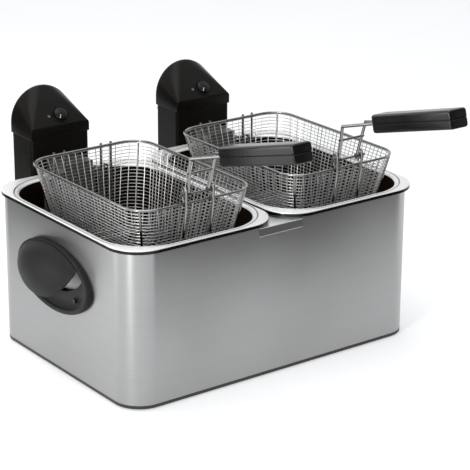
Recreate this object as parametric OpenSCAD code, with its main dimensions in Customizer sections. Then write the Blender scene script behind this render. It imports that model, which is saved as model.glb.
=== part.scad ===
// Twin-tank deep fryer: a brushed steel body on rubber feet, two lift-out oil
// tanks, two lift-off control heads with heating elements, and two wire
// baskets with folding handles, shown raised to drain.
//
// Frame: millimetres, +Z up, the control panels and basket grips face -Y.
// The origin is on the table, under the centre of the body.

/* [Body] */
// Outside width of the steel body
body_w = 440; // [420:5:480]
// Outside depth of the steel body, front to back
body_d = 311; // [300:1:330]
// Height of the steel body's top edge above the table
body_h = 203; // [195:1:230]
// Radius of the body's upright corners
body_r = 36; // [25:1:45]
// Thickness of the body's steel sheet
sheet_t = 1; // [0.8:0.1:1.5]
// Width of the body's turned-in bottom edge
bottom_turn = 14; // [12:1:20]

/* [Base] */
// Gap between the table and the base tray
foot_h = 2; // [1.5:0.5:5]
// Thickness of the base tray, seen as a dark band under the steel
tray_t = 4; // [3.5:0.5:8]
// Diameter of a rubber foot
foot_d = 22; // [16:1:30]
// Diameter of the stud that holds a rubber foot in the tray
foot_stud_d = 7; // [5:0.5:10]
// Distance of a foot's centre from the body's sides
foot_inset = 44; // [36:1:60]
// Number of vent slots in the base tray, even so that none meets the middle foot
vent_count = 8; // [4:2:12]
// Distance between two vent slots
vent_pitch = 22; // [16:1:26]
// Length of a vent slot
vent_l = 120; // [60:5:160]
// Width of a vent slot
vent_w = 5; // [3:0.5:8]

/* [Screws] */
// Shank diameter of the screws
screw_d = 3.2; // [2.5:0.1:4]
// Head diameter of the screws
screw_head_d = 6.4; // [5.6:0.1:8]
// Head height of the screws
screw_head_h = 1.6; // [1.2:0.1:2]
// Length of the base screws' shanks
base_screw_l = 6; // [5:0.5:9]

/* [Centre bridge] */
// Width of the bridge between the tanks, over the body's front edge
bridge_w = 65; // [50:1:80]
// Thickness of the bridge's sheet
bridge_t = 1; // [0.8:0.1:1.5]
// Drop of the bridge's top below the body's top edge
bridge_drop = 6.8; // [6:0.1:9]
// Height of the tab that laps over the front and the back
tab_h = 11; // [8:0.5:16]
// Length of the rib that carries the two tank rims
rib_l = 210; // [150:5:230]
// Width of that rib
rib_w = 17; // [12:0.5:19]

/* [Tanks] */
// Distance of a tank's side wall from the body's outside
tank_side = 5.1; // [5:0.1:9]
// Distance of a tank's front and rear walls from the body's outside
tank_end = 6.5; // [6:0.1:10]
// Inside height of a tank, floor to rim
tank_h = 144; // [135:1:155]
// Radius of a tank's upright inside corners
tank_r = 48; // [35:1:60]
// Thickness of a tank's steel
tank_t = 1.2; // [0.8:0.1:1.5]
// Radius of the curve between a tank's wall and its rim
roll_r = 4; // [3:0.5:5]
// Radius of the curve between a tank's wall and its floor
floor_r = 12; // [6:1:20]
// Distance of a rim's outer edge from the body's front and side
rim_over = 6; // [5:0.5:8]
// Distance of a rim's outer edge from the body's back
rim_over_rear = 1.8; // [1.6:0.1:3]
// Gap between the two tank rims
tank_gap = 5; // [4:0.5:8]
// Outer corner radius of a tank rim
rim_r = 42; // [30:1:48]
// Height of the rim's turned-down edge
lip_h = 4.2; // [3:0.1:5]

/* [Carry handles] */
// Length of a carry handle's oval frame
carry_w = 162; // [150:1:190]
// Height of a carry handle's oval frame
carry_h = 88; // [76:1:95]
// Width of the oval frame's band
carry_band = 7; // [5:0.5:9]
// Thickness of the oval frame
carry_t = 7; // [5:0.5:9]
// How far the hood stands out from the body
hood_out = 38; // [26:1:42]
// Wall thickness of the hood
hood_t = 3.2; // [2.5:0.1:4]
// Width of the hood
hood_w = 128; // [104:1:138]
// Height of the hood's lower edge above the oval's centre, negative below
hood_edge = -19; // [-24:1:-12]
// How far the oval's centre stands behind the body's middle
carry_back = 9; // [0:1:14]
// Height of the oval's centre above the table
carry_z = 127; // [120:1:140]
// Thickness of the dished plate that the screws go through
dish_t = 3; // [2.5:0.1:3.5]
// Distance of a carry handle's screws from its ends
carry_screw_in = 34; // [30:1:42]
// Height of the screws above the oval's centre, negative below
carry_screw_z = -18; // [-20:1:-13]
// Thickness of the steel plate behind a carry handle
backing_t = 1.5; // [1:0.1:2]

/* [Rear brackets] */
// Width of a rear bracket
bracket_w = 66; // [54:1:70]
// Height of a rear bracket's plate
bracket_h = 36; // [28:1:40]
// Height of its upright tongue
tongue_h = 20; // [14:1:24]
// Thickness of a rear bracket's steel
bracket_t = 1.2; // [1:0.1:1.5]
// Drop of a rear bracket's shelf below the body's top edge
bracket_below = 43; // [39:1:49]

/* [Control head] */
// Width of a control head's cap
head_w = 88; // [82:1:92]
// Depth of a control head's cap, front to back
head_d = 52; // [50:1:58]
// Distance of the cap's front from the body's back
head_gap = 7.5; // [7:0.1:9]
// Height of the cap's front edge above the body's top edge
cap_above = 60.5; // [52:0.5:72]
// Height of the cap's upright skirt
skirt_h = 14.5; // [11:0.5:18]
// Thickness of the cap's arched back
cap_back = 5; // [4:0.5:8]
// Wall thickness of the head's plastic shells
shell_t = 2.2; // [1.8:0.1:2.8]
// Step between the cap's skirt and the case below
case_step = 0.6; // [0.4:0.1:1.4]
// Drop of the case's underside below the body's top edge
case_below = 63; // [57:1:69]
// Radius of the case's upright front corners
case_r = 5; // [3:0.5:6]
// Thickness of the rear cover
cover_t = 2; // [1.6:0.1:2.6]
// Diameter of the bosses that take the cover's screws
boss_d = 7; // [6:0.5:8]

/* [Thermostat and lamp] */
// Diameter of the thermostat dial
dial_d = 19; // [16:0.5:21]
// Height of the dial above the panel
dial_h = 4; // [3:0.5:6]
// Outer diameter of the raised ring round the dial
ring_d = 25; // [23.5:0.5:27]
// Height of that ring
ring_h = 1.2; // [0.8:0.1:2]
// Sideways distance of the dial from the head's centre
dial_x = 6.5; // [4:0.5:8]
// Distance of the dial from the panel's front edge, up the slope
dial_s = 15; // [14.5:0.5:17]
// Diameter of the dial's shaft
shaft_d = 6; // [5:0.5:7]
// Size of the thermostat's body, across, up the slope and deep
thermostat = [30, 24, 18]; // [[26, 20, 14]:[34, 26, 20]]
// Diameter of the indicator lamp's lens
lamp_d = 4; // [3:0.5:5]
// Sideways distance of the lamp from the head's centre
lamp_x = -10.5; // [-13:0.5:-9.5]
// Diameter of the sensor bulb
bulb_d = 5; // [4:0.5:6]
// Length of the sensor bulb
bulb_l = 90; // [60:5:100]

/* [Rear controls] */
// Diameter of the reset button
reset_d = 7; // [6:0.5:9]
// How far the reset button stands out
reset_out = 2.5; // [2.2:0.1:3]
// Drop of the reset button below the body's top edge
reset_below = 13; // [7:1:19]
// Diameter of the cord gland's flange
gland_d = 18; // [15:0.5:20]
// Length of the gland outside the cover
gland_l = 12; // [8:0.5:16]
// Bore of the cord gland
gland_bore = 6.6; // [5:0.1:8]
// Drop of the gland below the body's top edge
gland_below = 39; // [35:1:43]

/* [Heating element] */
// Diameter of the heating tube
element_d = 8; // [6:0.5:8.5]
// Height of the heating loop above the tank's floor
element_lift = 9; // [7:0.5:10]
// Distance between the heating tube's two upright legs
riser_pitch = 32; // [26:1:40]
// Width of the heating loop
loop_w = 144; // [120:2:156]
// Distance between the two inner runs of the heating loop
loop_gap = 60; // [50:2:70]
// Height of the element guard's top edge above the tank rim
guard_up = 8; // [5:0.5:10]
// Width of the element guard
guard_w = 104; // [98:1:116]
// Thickness of the element guard
guard_t = 1.2; // [1:0.1:1.5]
// Height of the guard's covered channel above the tank rim
channel_h = 18; // [16:0.5:20]
// Depth of the guard's slots below its top edge
slot_h = 66; // [64:1:72]

/* [Baskets] */
// Gap between a basket's rim wire and the tank's side wall
basket_side = 12.65; // [9:0.05:16]
// Gap between a basket's rim wire and the tank's rear wall
rear_room = 40.2; // [39.6:0.1:50]
// Height of a basket, rim wire to underside
basket_h = 106; // [90:1:110]
// How far each side of the basket runs in towards the bottom
basket_taper = 20; // [12:1:24]
// Radius of the basket's rim corners
basket_r = 32; // [26:1:40]
// Diameter of the rim wire
rim_wire = 3.2; // [2.6:0.1:3.6]
// Diameter of the basket's corner wires and bottom wire
frame_wire = 2.6; // [2:0.1:3]
// Thickness of the mesh
mesh_t = 1.2; // [0.8:0.1:1.6]
// Height of the rim wire above the tank rim, in the draining place
drain_up = 39.7; // [36:0.1:44]
// Distance between the rim wire and the tank's front wall
basket_front = 6.4; // [6.2:0.1:9]

/* [Basket handle] */
// Diameter of the handle bracket's wire
bracket_wire = 3.2; // [2.8:0.1:3.4]
// Distance between the bracket's two wires
bracket_pitch = 39; // [34:0.5:44]
// Height of the bracket's top above the rim wire
bracket_up = 20; // [18:0.5:24]
// Depth of the bracket's outer wires below the rim wire
bracket_down = 44; // [36:1:50]
// Height of the pivot bar above the rim wire
pivot_up = 10.8; // [9.6:0.1:12]
// Diameter of the pivot bar
pivot_d = 3; // [2.6:0.1:3]
// Length of the pivot bar
pivot_l = 54; // [48:1:60]
// Diameter of the handle's wire
handle_wire_d = 4; // [3.5:0.1:4.5]
// Height of the cross wire above the pivot bar
cross_up = 27; // [22:0.5:30]
// Height of the handle's knee above the pivot bar
knee_up = 46; // [40:0.5:50]
// Distance of the knee in front of the pivot bar
knee_out = 10; // [6:0.5:12]
// How far each knee stands outside its leg's foot
knee_spread = 4; // [2:0.1:5]
// Distance between the knee and the grip
reach = 50; // [40:1:56]
// Tilt of the grip above level
grip_tilt = 15.4; // [10:0.1:20]
// Length of the grip
grip_l = 140; // [120:1:150]
// Width of the grip
grip_w = 28; // [22:0.5:32]
// Height of the grip
grip_h = 23; // [18:0.5:26]
// Radius of the grip's long edges
grip_r = 4; // [2:0.5:6]
// Distance between a rear hook's two prongs
hook_w = 15; // [13:0.5:18]
// Distance of a rear hook's middle from the basket's middle
hook_x = 35; // [33:0.5:37]

/* [Clearances] */
// Gap between a lift-out piece and what it stands on
seat_gap = 0.3; // [0.2:0.05:0.4]
// Gap round a pin or a shaft in its hole
pin_gap = 0.1; // [0.05:0.01:0.15]
// Gap round a screw in its hole
screw_gap = 0.15; // [0.1:0.05:0.25]
// Gap between neighbouring fixed pieces
fit_gap = 0.1; // [0.05:0.05:0.2]

/* [Hidden] */

$fn = 48;
HULL_FN = 32;
EPS = 0.01;

STEEL = "#a9aaac";
BRIGHT = "#dcdcda";
BLACK = "#202022";
GREY = "#5a5b5e";
BRASS = "#b9b3a4";

// Body
base_top = foot_h + tray_t;
screw_beside = 20;
bridge_top = body_h - bridge_drop;
// Tanks
rim_top = body_h + seat_gap + tank_t;
rim_side = body_w / 2 + rim_over;
tank_x = (rim_side + tank_gap / 2) / 2;
flange_w = rim_side - tank_gap / 2;
flange_front = -(body_d / 2 + rim_over);
flange_back = body_d / 2 + rim_over_rear;
tank_w = 2 * (body_w / 2 - tank_side - tank_x);
tank_d = body_d - 2 * tank_end;
floor_z = rim_top - tank_h;
lip_z = rim_top - lip_h;
// The body's top edge turns in as far as the rolled edge of a tank leaves room
edge_drop = roll_r - seat_gap - tank_t;
roll_reach = roll_r - sqrt(pow(roll_r - tank_t, 2) - pow(edge_drop, 2));
top_turn = tank_side - roll_reach - seat_gap;
// The rims' rounded rear corners cross the body's back edge up to here
relief_x = tank_gap / 2 + rim_r - sqrt(pow(rim_r - tank_t, 2) - pow(rim_r - rim_over_rear, 2)) + seat_gap;
// Carry handles
carry_screw_pitch = carry_w - 2 * carry_screw_in;
dish_up = carry_h * 0.42;
dish_rim = 8;
plate_edge = 9;
// Rear brackets and the hooks that drop over them
plate_y = body_d / 2 + bracket_t;
bracket_z = body_h - bracket_below;
hook_gap = 0.4;
hook_lip = 2;
hook_y = flange_back + seat_gap + fit_gap;
tongue_y = hook_y + hook_lip + hook_gap;
hook_half = 8;
hook_pitch = 40;
// Control head
cap_y = body_d / 2 + head_gap;
cap_back_y = cap_y + head_d;
case_y = cap_y + case_step;
case_back_y = cap_back_y - case_step;
case_w = head_w - 2 * case_step;
case_z = body_h - case_below;
cap_edge_z = body_h + cap_above;
reset_z = body_h - reset_below;
gland_z = body_h - gland_below;
seam_z = cap_edge_z - skirt_h;
panel_run = head_d - cap_back;
panel_rise = head_w / 2 - 1.5;
panel_tilt = atan(panel_rise / panel_run);
cover_w = case_w - 2 * shell_t - 2 * fit_gap;
cover_z = case_z + shell_t + fit_gap;
cover_top = seam_z - fit_gap;
boss_x = case_w / 2 - shell_t - boss_d / 2;
boss_zs = [case_z + shell_t + boss_d / 2, seam_z - boss_d / 2 - 2];
cover_screw_l = 12;
// Heating element and guard
loop_z = floor_z + element_lift;
channel_z = rim_top + channel_h;
riser_z = rim_top + channel_h / 2 + 1;
channel_w = riser_pitch + element_d + 2 * guard_t + 2;
// Basket
basket_w = tank_w - 2 * basket_side;
basket_d = tank_d - basket_front + rim_wire / 2 - rear_room;
basket_y = -tank_d / 2 + basket_front + basket_d / 2 - rim_wire / 2;
rim_z = rim_top + drain_up;
basket_back = basket_y + basket_d / 2;
mesh_w = basket_w - 2 * rim_wire - 2 * fit_gap;
mesh_d = basket_d - 2 * rim_wire - 2 * fit_gap;
mesh_r = basket_r - rim_wire;
mesh_top = rim_z - rim_wire / 2;
basket_low = rim_z - basket_h;
mesh_low = basket_low + frame_wire;
guard_y = basket_back + 13;
slot_w = rim_wire + 2 * seat_gap;
plate_top = rim_top + guard_up;
// Handle
pivot_y = basket_y - basket_d / 2 + rim_wire / 2;
pivot_z = rim_z + pivot_up;
outer_y = basket_y - basket_d / 2 - bracket_wire / 2 - fit_gap;
inner_y = pivot_y + rim_wire / 2 + bracket_wire / 2 + fit_gap;
eye_w = 4;
lug_t = 2;
lug_h = 7;
leg_lean = knee_spread * (bracket_up - pivot_up + bracket_wire) / knee_up;
leg_x = bracket_pitch / 2 - bracket_wire / 2 - seat_gap - eye_w / 2 - leg_lean;
grip_in = 7;
grip_wire_l = grip_l * 0.43;
grip_start = [0, pivot_y - knee_out - reach * cos(grip_tilt), pivot_z + knee_up + reach * sin(grip_tilt)];

// A rectangle with rounded corners, centred
module rounded(w, d, r) {
    for (x = [-1, 1], y = [-1, 1])
        translate([x * (w / 2 - r), y * (d / 2 - r)]) circle(r);
    square([w - 2 * r, d], center = true);
    square([w, d - 2 * r], center = true);
}

// Sweeps an outline once round a rounded rectangle; the outline's x points
// outwards from the path and its y points up
module ring_sweep(w, d, r) {
    for (i = [0:3]) {
        a = i % 2 == 0 ? w : d;
        b = i % 2 == 0 ? d : w;
        half = b / 2 - r;
        rotate(90 * i) {
            translate([a / 2 - r, half, 0])
                rotate_extrude(angle = 90) translate([r, 0]) children();
            translate([a / 2, half, 0])
                rotate([90, 0, 0]) linear_extrude(2 * half) children();
        }
    }
}

// A quarter of a ring round the origin, in the quadrant given by two signs
module quarter_ring(r_out, r_in, sx, sy) {
    intersection() {
        difference() {
            circle(r_out);
            circle(r_in);
        }
        translate([sx > 0 ? 0 : -r_out, sy > 0 ? 0 : -r_out]) square(r_out);
    }
}

// A straight round wire between two points
module wire(p, q, d) {
    v = q - p;
    translate(p)
        rotate([0, acos(v[2] / norm(v)), atan2(v[1], v[0])])
            cylinder(h = norm(v), d = d);
}

function unit(v) = v / norm(v);

// Length that a bend of radius r takes from each side of a corner
function bend_run(p, q, s, r) = r * tan(acos(unit(q - p) * unit(s - q)) / 2);

// A round wire along a list of points, with a true bend at every corner
module bent_wire(points, d, r) {
    n = len(points) - 1;
    for (i = [1:n]) {
        u = unit(points[i] - points[i - 1]);
        cut_a = i == 1 ? 0 : bend_run(points[i - 2], points[i - 1], points[i], r);
        cut_b = i == n ? 0 : bend_run(points[i - 1], points[i], points[i + 1], r);
        wire(points[i - 1] + cut_a * u, points[i] - cut_b * u, d);
    }
    for (i = [1:n - 1]) {
        u = unit(points[i] - points[i - 1]);
        v = unit(points[i + 1] - points[i]);
        side = unit(cross(u, v));
        out = cross(u, side);
        c = points[i] - bend_run(points[i - 1], points[i], points[i + 1], r) * u - r * out;
        multmatrix([
            [out[0], u[0], side[0], c[0]],
            [out[1], u[1], side[1], c[1]],
            [out[2], u[2], side[2], c[2]]
        ])
            rotate_extrude(angle = acos(u * v)) translate([r, 0]) circle(d = d);
    }
}

// A screw whose head rests on the plane z = 0, with its shank below
module screw(l) {
    cylinder(d = screw_head_d, h = screw_head_h);
    translate([0, 0, -l]) cylinder(d = screw_d, h = l + EPS);
}

// The hole that such a screw passes through
module screw_hole(l) {
    translate([0, 0, -l]) cylinder(d = screw_d + 2 * screw_gap, h = 2 * l);
}

// Places a piece on the left or the right tank's centre line
module on_left() { translate([-tank_x, 0, 0]) children(); }
module on_right() { translate([tank_x, 0, 0]) children(); }

// ---- Body -----------------------------------------------------------------

module base_screw_places() {
    inset = bottom_turn / 2 + sheet_t;
    for (x = [-1, 0, 1], y = [-1, 1])
        translate([x * (body_w / 2 - body_r - screw_beside), y * (body_d / 2 - inset), 0]) children();
}

module carry_screw_places() {
    for (y = [-1, 1])
        translate([0, carry_back + y * carry_screw_pitch / 2, carry_z + carry_screw_z]) children();
}

module rivet_places() {
    for (s = [-1, 1], x = [-1, 1])
        translate([s * tank_x + x * (bracket_w / 2 - 7), 0, bracket_z + bracket_h - 6]) children();
}

// The body is one wrap of brushed steel sheet with turned-in edges
module housing() {
    color(STEEL)
    difference() {
        translate([0, 0, base_top])
            linear_extrude(body_h - base_top) rounded(body_w, body_d, body_r);
        translate([0, 0, base_top + sheet_t])
            linear_extrude(body_h - base_top - 2 * sheet_t)
                rounded(body_w - 2 * sheet_t, body_d - 2 * sheet_t, body_r - sheet_t);
        translate([0, 0, body_h - 2 * sheet_t])
            linear_extrude(3 * sheet_t)
                rounded(body_w - 2 * top_turn, body_d - 2 * top_turn, body_r - top_turn);
        translate([0, 0, base_top - sheet_t])
            linear_extrude(3 * sheet_t)
                rounded(body_w - 2 * bottom_turn, body_d - 2 * bottom_turn, body_r - bottom_turn);
        translate([-bridge_w / 2, -body_d, bridge_top - bridge_t]) cube([bridge_w, 2 * body_d, body_h]);
        translate([-relief_x, 0, lip_z - seat_gap]) cube([2 * relief_x, body_d, body_h]);
        translate([0, 0, base_top]) base_screw_places() screw_hole(3);
        for (s = [-1, 1])
            translate([s * body_w / 2, 0, 0]) carry_screw_places() rotate([0, 90, 0]) screw_hole(4);
        translate([0, body_d / 2, 0]) rivet_places() rotate([-90, 0, 0]) screw_hole(3);
    }
}

// The base tray closes the body from below and takes the feet
module base_tray() {
    color(BLACK)
    difference() {
        translate([0, 0, foot_h]) linear_extrude(tray_t) rounded(body_w, body_d, body_r);
        translate([0, 0, foot_h]) base_screw_places() {
            translate([0, 0, -1]) cylinder(d = screw_head_d + 2 * fit_gap, h = 1 + screw_head_h + 2 * fit_gap);
            screw_hole(10);
        }
        translate([0, 0, foot_h]) foot_places()
            translate([0, 0, -1]) cylinder(d = foot_stud_d + 2 * fit_gap, h = tray_t);
        for (i = [0:vent_count - 1])
            translate([(i - (vent_count - 1) / 2) * vent_pitch, 0, foot_h - 1])
                linear_extrude(tray_t + 2) {
                    square([vent_w, vent_l - vent_w], center = true);
                    for (y = [-1, 1]) translate([0, y * (vent_l - vent_w) / 2]) circle(d = vent_w);
                }
    }
}

module foot_places() {
    for (x = [-1, 1], y = [-1, 1])
        translate([x * (body_w / 2 - foot_inset), y * (body_d / 2 - foot_inset), 0]) children();
    children();
}

// Five rubber feet, each with a stud pushed into the tray; one stands under the middle
module feet() {
    color(BLACK)
    foot_places() {
        cylinder(d = foot_d, h = foot_h);
        cylinder(d = foot_stud_d, h = foot_h + tray_t - 1.2);
    }
}

module base_screws() {
    color(GREY)
    translate([0, 0, foot_h + screw_head_h + fit_gap]) base_screw_places() rotate([180, 0, 0]) screw(base_screw_l);
}

// The bridge laps over the body's edges between the tanks and carries their rims
module centre_bridge() {
    color(BRIGHT) {
        difference() {
            translate([-bridge_w / 2, -body_d / 2 - bridge_t, bridge_top - bridge_t])
                cube([bridge_w, body_d + 2 * bridge_t, bridge_t]);
            for (x = [-tank_x, tank_x])
                translate([x, 0, bridge_top - 2 * bridge_t])
                    linear_extrude(3 * bridge_t)
                        rounded(tank_w + 2 * tank_t + 2, tank_d + 2 * tank_t + 2, tank_r + tank_t + 1);
        }
        for (y = [-body_d / 2 - bridge_t, body_d / 2])
            translate([-bridge_w / 2, y, bridge_top - tab_h]) cube([bridge_w, bridge_t, tab_h]);
        translate([-rib_w / 2, -rib_l / 2, bridge_top - EPS])
            difference() {
                cube([rib_w, rib_l, lip_z - seat_gap - bridge_top + EPS]);
                translate([bridge_t, -1, -1]) cube([rib_w - 2 * bridge_t, rib_l + 2, lip_z - seat_gap - bridge_top + 1 - bridge_t]);
            }
    }
}

// ---- Carry handles --------------------------------------------------------

// An oval, drawn across the body's side: its first axis is Y, its second is Z
module oval(w, h) {
    polygon([for (a = [0:6:354]) [w / 2 * cos(a), h / 2 * sin(a)]]);
}

// Stands an outline up on the body's side and thickens it outwards
module on_side(t) {
    rotate([90, 0, 90]) linear_extrude(t) children();
}

// Half of an egg-shaped shell that stands out from the side
module egg(out, w, h, fn) {
    scale([out, w / 2, h / 2]) sphere(r = 1, $fn = fn);
}

// One moulding: an oval frame, a dished lower plate and a hood to lift by
module carry_handle() {
    color(BLACK)
    translate([body_w / 2, carry_back, carry_z])
    difference() {
        union() {
            difference() {
                on_side(carry_t) oval(carry_w, carry_h);
                translate([-1, 0, 0]) on_side(carry_t + 2) oval(carry_w - 2 * carry_band, carry_h - 2 * carry_band);
            }
            // the dished plate in the oval's lower part
            intersection() {
                on_side(dish_t) oval(carry_w - 2, carry_h - 2);
                on_side(dish_t) difference() {
                    square([carry_w, carry_h], center = true);
                    translate([0, dish_up]) oval(carry_w - dish_rim, carry_h + 2 * carry_band);
                }
            }
            // the hood
            intersection() {
                difference() {
                    egg(hood_out, carry_w - dish_rim, carry_h, 40);
                    egg(hood_out - hood_t, carry_w - dish_rim - 2 * hood_t, carry_h - 2 * hood_t, 40);
                }
                translate([0, 0, (carry_h / 2 + hood_edge) / 2])
                    on_side(hood_out + 2) oval(hood_w, carry_h / 2 - hood_edge + 1);
            }
        }
        translate([dish_t, -carry_back, -carry_z]) carry_screw_places() rotate([0, 90, 0]) screw_hole(2 * dish_t);
    }
}

// Two screws hold each carry handle, and a plate behind the steel takes them
module carry_screws() {
    color(GREY)
    for (s = [0, 1])
        mirror([s, 0, 0])
            translate([body_w / 2 + dish_t, 0, 0]) carry_screw_places() rotate([0, 90, 0])
                screw(dish_t + sheet_t + backing_t);
}

module backing_plate() {
    color(GREY)
    difference() {
        translate([body_w / 2 - sheet_t - backing_t, carry_back, carry_z + carry_screw_z])
            translate([0, -carry_screw_pitch / 2 - plate_edge, -plate_edge])
                cube([backing_t, carry_screw_pitch + 2 * plate_edge, 2 * plate_edge]);
        translate([body_w / 2 - sheet_t, 0, 0]) carry_screw_places() rotate([0, 90, 0]) screw_hole(4);
    }
}

// ---- Rear brackets --------------------------------------------------------

// A shelf with an upright tongue that a control head's hooks drop over
module rear_bracket() {
    color(STEEL)
    difference() {
        union() {
            translate([-bracket_w / 2, body_d / 2, bracket_z]) cube([bracket_w, bracket_t, bracket_h]);
            translate([-bracket_w / 2, body_d / 2, bracket_z]) cube([bracket_w, tongue_y + bracket_t - body_d / 2, bracket_t]);
            translate([-bracket_w / 2, tongue_y, bracket_z]) cube([bracket_w, bracket_t, tongue_h]);
        }
        for (x = [-1, 1])
            translate([x * (bracket_w / 2 - 7), body_d / 2, bracket_z + bracket_h - 6]) rotate([-90, 0, 0]) screw_hole(3);
    }
}

module bracket_rivets() {
    color(GREY)
    rivet_places() translate([0, plate_y, 0]) rotate([-90, 0, 0]) {
        cylinder(d = screw_head_d, h = 0.6);
        translate([0, 0, -bracket_t - sheet_t - 0.6]) cylinder(d = screw_d, h = bracket_t + sheet_t + 0.7);
        translate([0, 0, -bracket_t - sheet_t - 1.2]) cylinder(d = screw_head_d, h = 1.2);
    }
}

// ---- Tanks ----------------------------------------------------------------

// The flat rim's outline: wide at the front, narrow at the back
module flange_outline(inset) {
    translate([0, (flange_front + flange_back) / 2])
        rounded(flange_w - 2 * inset, flange_back - flange_front - 2 * inset, rim_r - inset);
}

// The outline of a tank's inside, made larger or smaller all round
module well_outline(grow) {
    rounded(tank_w + 2 * grow, tank_d + 2 * grow, tank_r + grow);
}

// The section of a tank's wall, from the floor's edge up to the start of the flat rim
module tank_section() {
    translate([roll_r, rim_top - tank_t]) square([tank_t, tank_t]);
    translate([roll_r, rim_top - roll_r]) quarter_ring(roll_r, roll_r - tank_t, -1, 1);
    translate([0, floor_z + floor_r]) square([tank_t, tank_h - floor_r - roll_r]);
    translate([-floor_r, floor_z + floor_r]) quarter_ring(floor_r + tank_t, floor_r, 1, -1);
    translate([-floor_r - tank_t, floor_z - tank_t]) square([tank_t, tank_t]);
}

// A deep-drawn tank with a flat rim and a turned-down edge
module tank() {
    color(BRIGHT) {
        difference() {
            translate([0, 0, rim_top - tank_t]) linear_extrude(tank_t) flange_outline(0);
            translate([0, 0, rim_top - 2 * tank_t]) linear_extrude(3 * tank_t) well_outline(roll_r + tank_t / 2);
        }
        difference() {
            translate([0, 0, lip_z]) linear_extrude(lip_h - tank_t / 2) flange_outline(0);
            translate([0, 0, lip_z - 1]) linear_extrude(lip_h + 1) flange_outline(tank_t);
        }
        ring_sweep(tank_w, tank_d, tank_r) tank_section();
        translate([0, 0, floor_z - tank_t]) linear_extrude(tank_t) well_outline(-floor_r - tank_t / 2);
    }
}

// ---- Control head ---------------------------------------------------------

// Moves a piece onto the sloping panel: z is out of the panel, y up the slope
module on_panel(x, s, depth = 0) {
    translate([x, cap_y, cap_edge_z]) rotate([panel_tilt, 0, 0]) translate([0, s, -depth]) children();
}

// The cap's outside: a straight front edge blended into an arched back
module cap_form(inset) {
    w = head_w - 2 * inset;
    hull() {
        translate([-w / 2, cap_y + inset, cap_edge_z - 1]) cube([w, 1, 1 - inset * 0.4]);
        translate([0, cap_back_y - inset, cap_edge_z - 1.5]) rotate([90, 0, 0])
            intersection() {
                cylinder(r = w / 2, h = cap_back - 1.4 * inset, $fn = 64);
                translate([-w / 2, 0, -1]) cube([w, w, cap_back + 2]);
            }
    }
    translate([-w / 2, cap_y + inset, seam_z]) cube([w, head_d - 2 * inset, skirt_h - 1]);
}

// The cap carries the dial's ring and the lamp
module head_cap() {
    color(BLACK)
    difference() {
        union() {
            difference() {
                cap_form(0);
                cap_form(shell_t);
                translate([-head_w / 2 + shell_t, cap_y + shell_t, seam_z - 1])
                    cube([head_w - 2 * shell_t, head_d - 2 * shell_t, 2]);
            }
            on_panel(dial_x, dial_s, 1) cylinder(d = ring_d, h = 1 + ring_h);
        }
        on_panel(dial_x, dial_s, 0) cylinder(d = dial_d + 2, h = 10);
        on_panel(dial_x, dial_s, 10) cylinder(d = shaft_d + 2 * pin_gap, h = 20);
        on_panel(lamp_x, dial_s, 10) cylinder(d = lamp_d + 2 * fit_gap, h = 20);
    }
}

// The case is a tub, open at the top and the back, with hooks on its front
module head_case() {
    color(BLACK)
    difference() {
        union() {
            difference() {
                translate([0, 0, case_z]) linear_extrude(seam_z - case_z) case_outline(0);
                translate([0, 0, case_z + shell_t]) linear_extrude(seam_z) case_outline(shell_t);
                translate([-case_w / 2 + shell_t, case_back_y - 10, case_z + shell_t])
                    cube([case_w - 2 * shell_t, 20, seam_z]);
            }
            for (x = [-boss_x, boss_x], z = boss_zs)
                translate([x, case_back_y - cover_t - fit_gap, z]) rotate([90, 0, 0])
                    cylinder(d = boss_d, h = case_back_y - cover_t - fit_gap - case_y - 1);
            for (x = [-hook_pitch / 2, hook_pitch / 2]) translate([x - hook_half, 0, 0]) {
                translate([0, hook_y, bracket_z + bracket_t + seat_gap])
                    cube([2 * hook_half, hook_lip, tongue_h + 4]);
                translate([0, hook_y, bracket_z + tongue_h + 1])
                    cube([2 * hook_half, case_y - hook_y + 1, bracket_t + seat_gap + 3]);
            }
        }
        for (x = [-boss_x, boss_x], z = boss_zs)
            translate([x, case_back_y, z]) rotate([-90, 0, 0]) screw_hole(cover_screw_l + cover_t);
        for (x = [-riser_pitch / 2, riser_pitch / 2])
            translate([x, case_y - 5, riser_z]) rotate([-90, 0, 0]) cylinder(d = element_d + 2 * fit_gap, h = 10);
        translate([0, case_y - 5, riser_z]) rotate([-90, 0, 0]) cylinder(d = 2 + 2 * fit_gap, h = 10);
    }
}

module case_outline(inset) {
    translate([0, (case_y + case_back_y) / 2])
        rounded(case_w - 2 * inset, case_back_y - case_y - 2 * inset, case_r - inset);
}

// The rear cover closes the case and holds the gland and the reset button
module rear_cover() {
    color(BLACK)
    difference() {
        translate([-cover_w / 2, case_back_y - cover_t, cover_z]) cube([cover_w, cover_t, cover_top - cover_z]);
        for (x = [-boss_x, boss_x], z = boss_zs)
            translate([x, case_back_y, z]) rotate([-90, 0, 0]) screw_hole(4);
        translate([0, case_back_y - 5, reset_z]) rotate([-90, 0, 0]) cylinder(d = reset_d + 2 * pin_gap, h = 10);
        translate([0, case_back_y - 5, gland_z]) rotate([-90, 0, 0]) cylinder(d = gland_d - 6 + 2 * fit_gap, h = 10);
    }
}

module head_screws() {
    color(GREY)
    for (x = [-boss_x, boss_x], z = boss_zs)
        translate([x, case_back_y, z]) rotate([-90, 0, 0]) screw(cover_screw_l);
}

// The dial and its shaft turn together
module dial() {
    color(GREY) {
        on_panel(dial_x, dial_s, -seat_gap) cylinder(d = dial_d, h = dial_h - seat_gap);
        on_panel(dial_x, dial_s, shell_t + 8) cylinder(d = shaft_d, h = shell_t + 8 + 1);
    }
}

module thermostat_body() {
    color(BRASS)
    difference() {
        on_panel(dial_x, dial_s, shell_t + thermostat[2] + seat_gap)
            translate([-thermostat[0] / 2, -thermostat[1] / 2, 0]) cube(thermostat);
        on_panel(dial_x, dial_s, shell_t + 9) cylinder(d = shaft_d + 2 * pin_gap, h = 20);
    }
}

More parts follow.
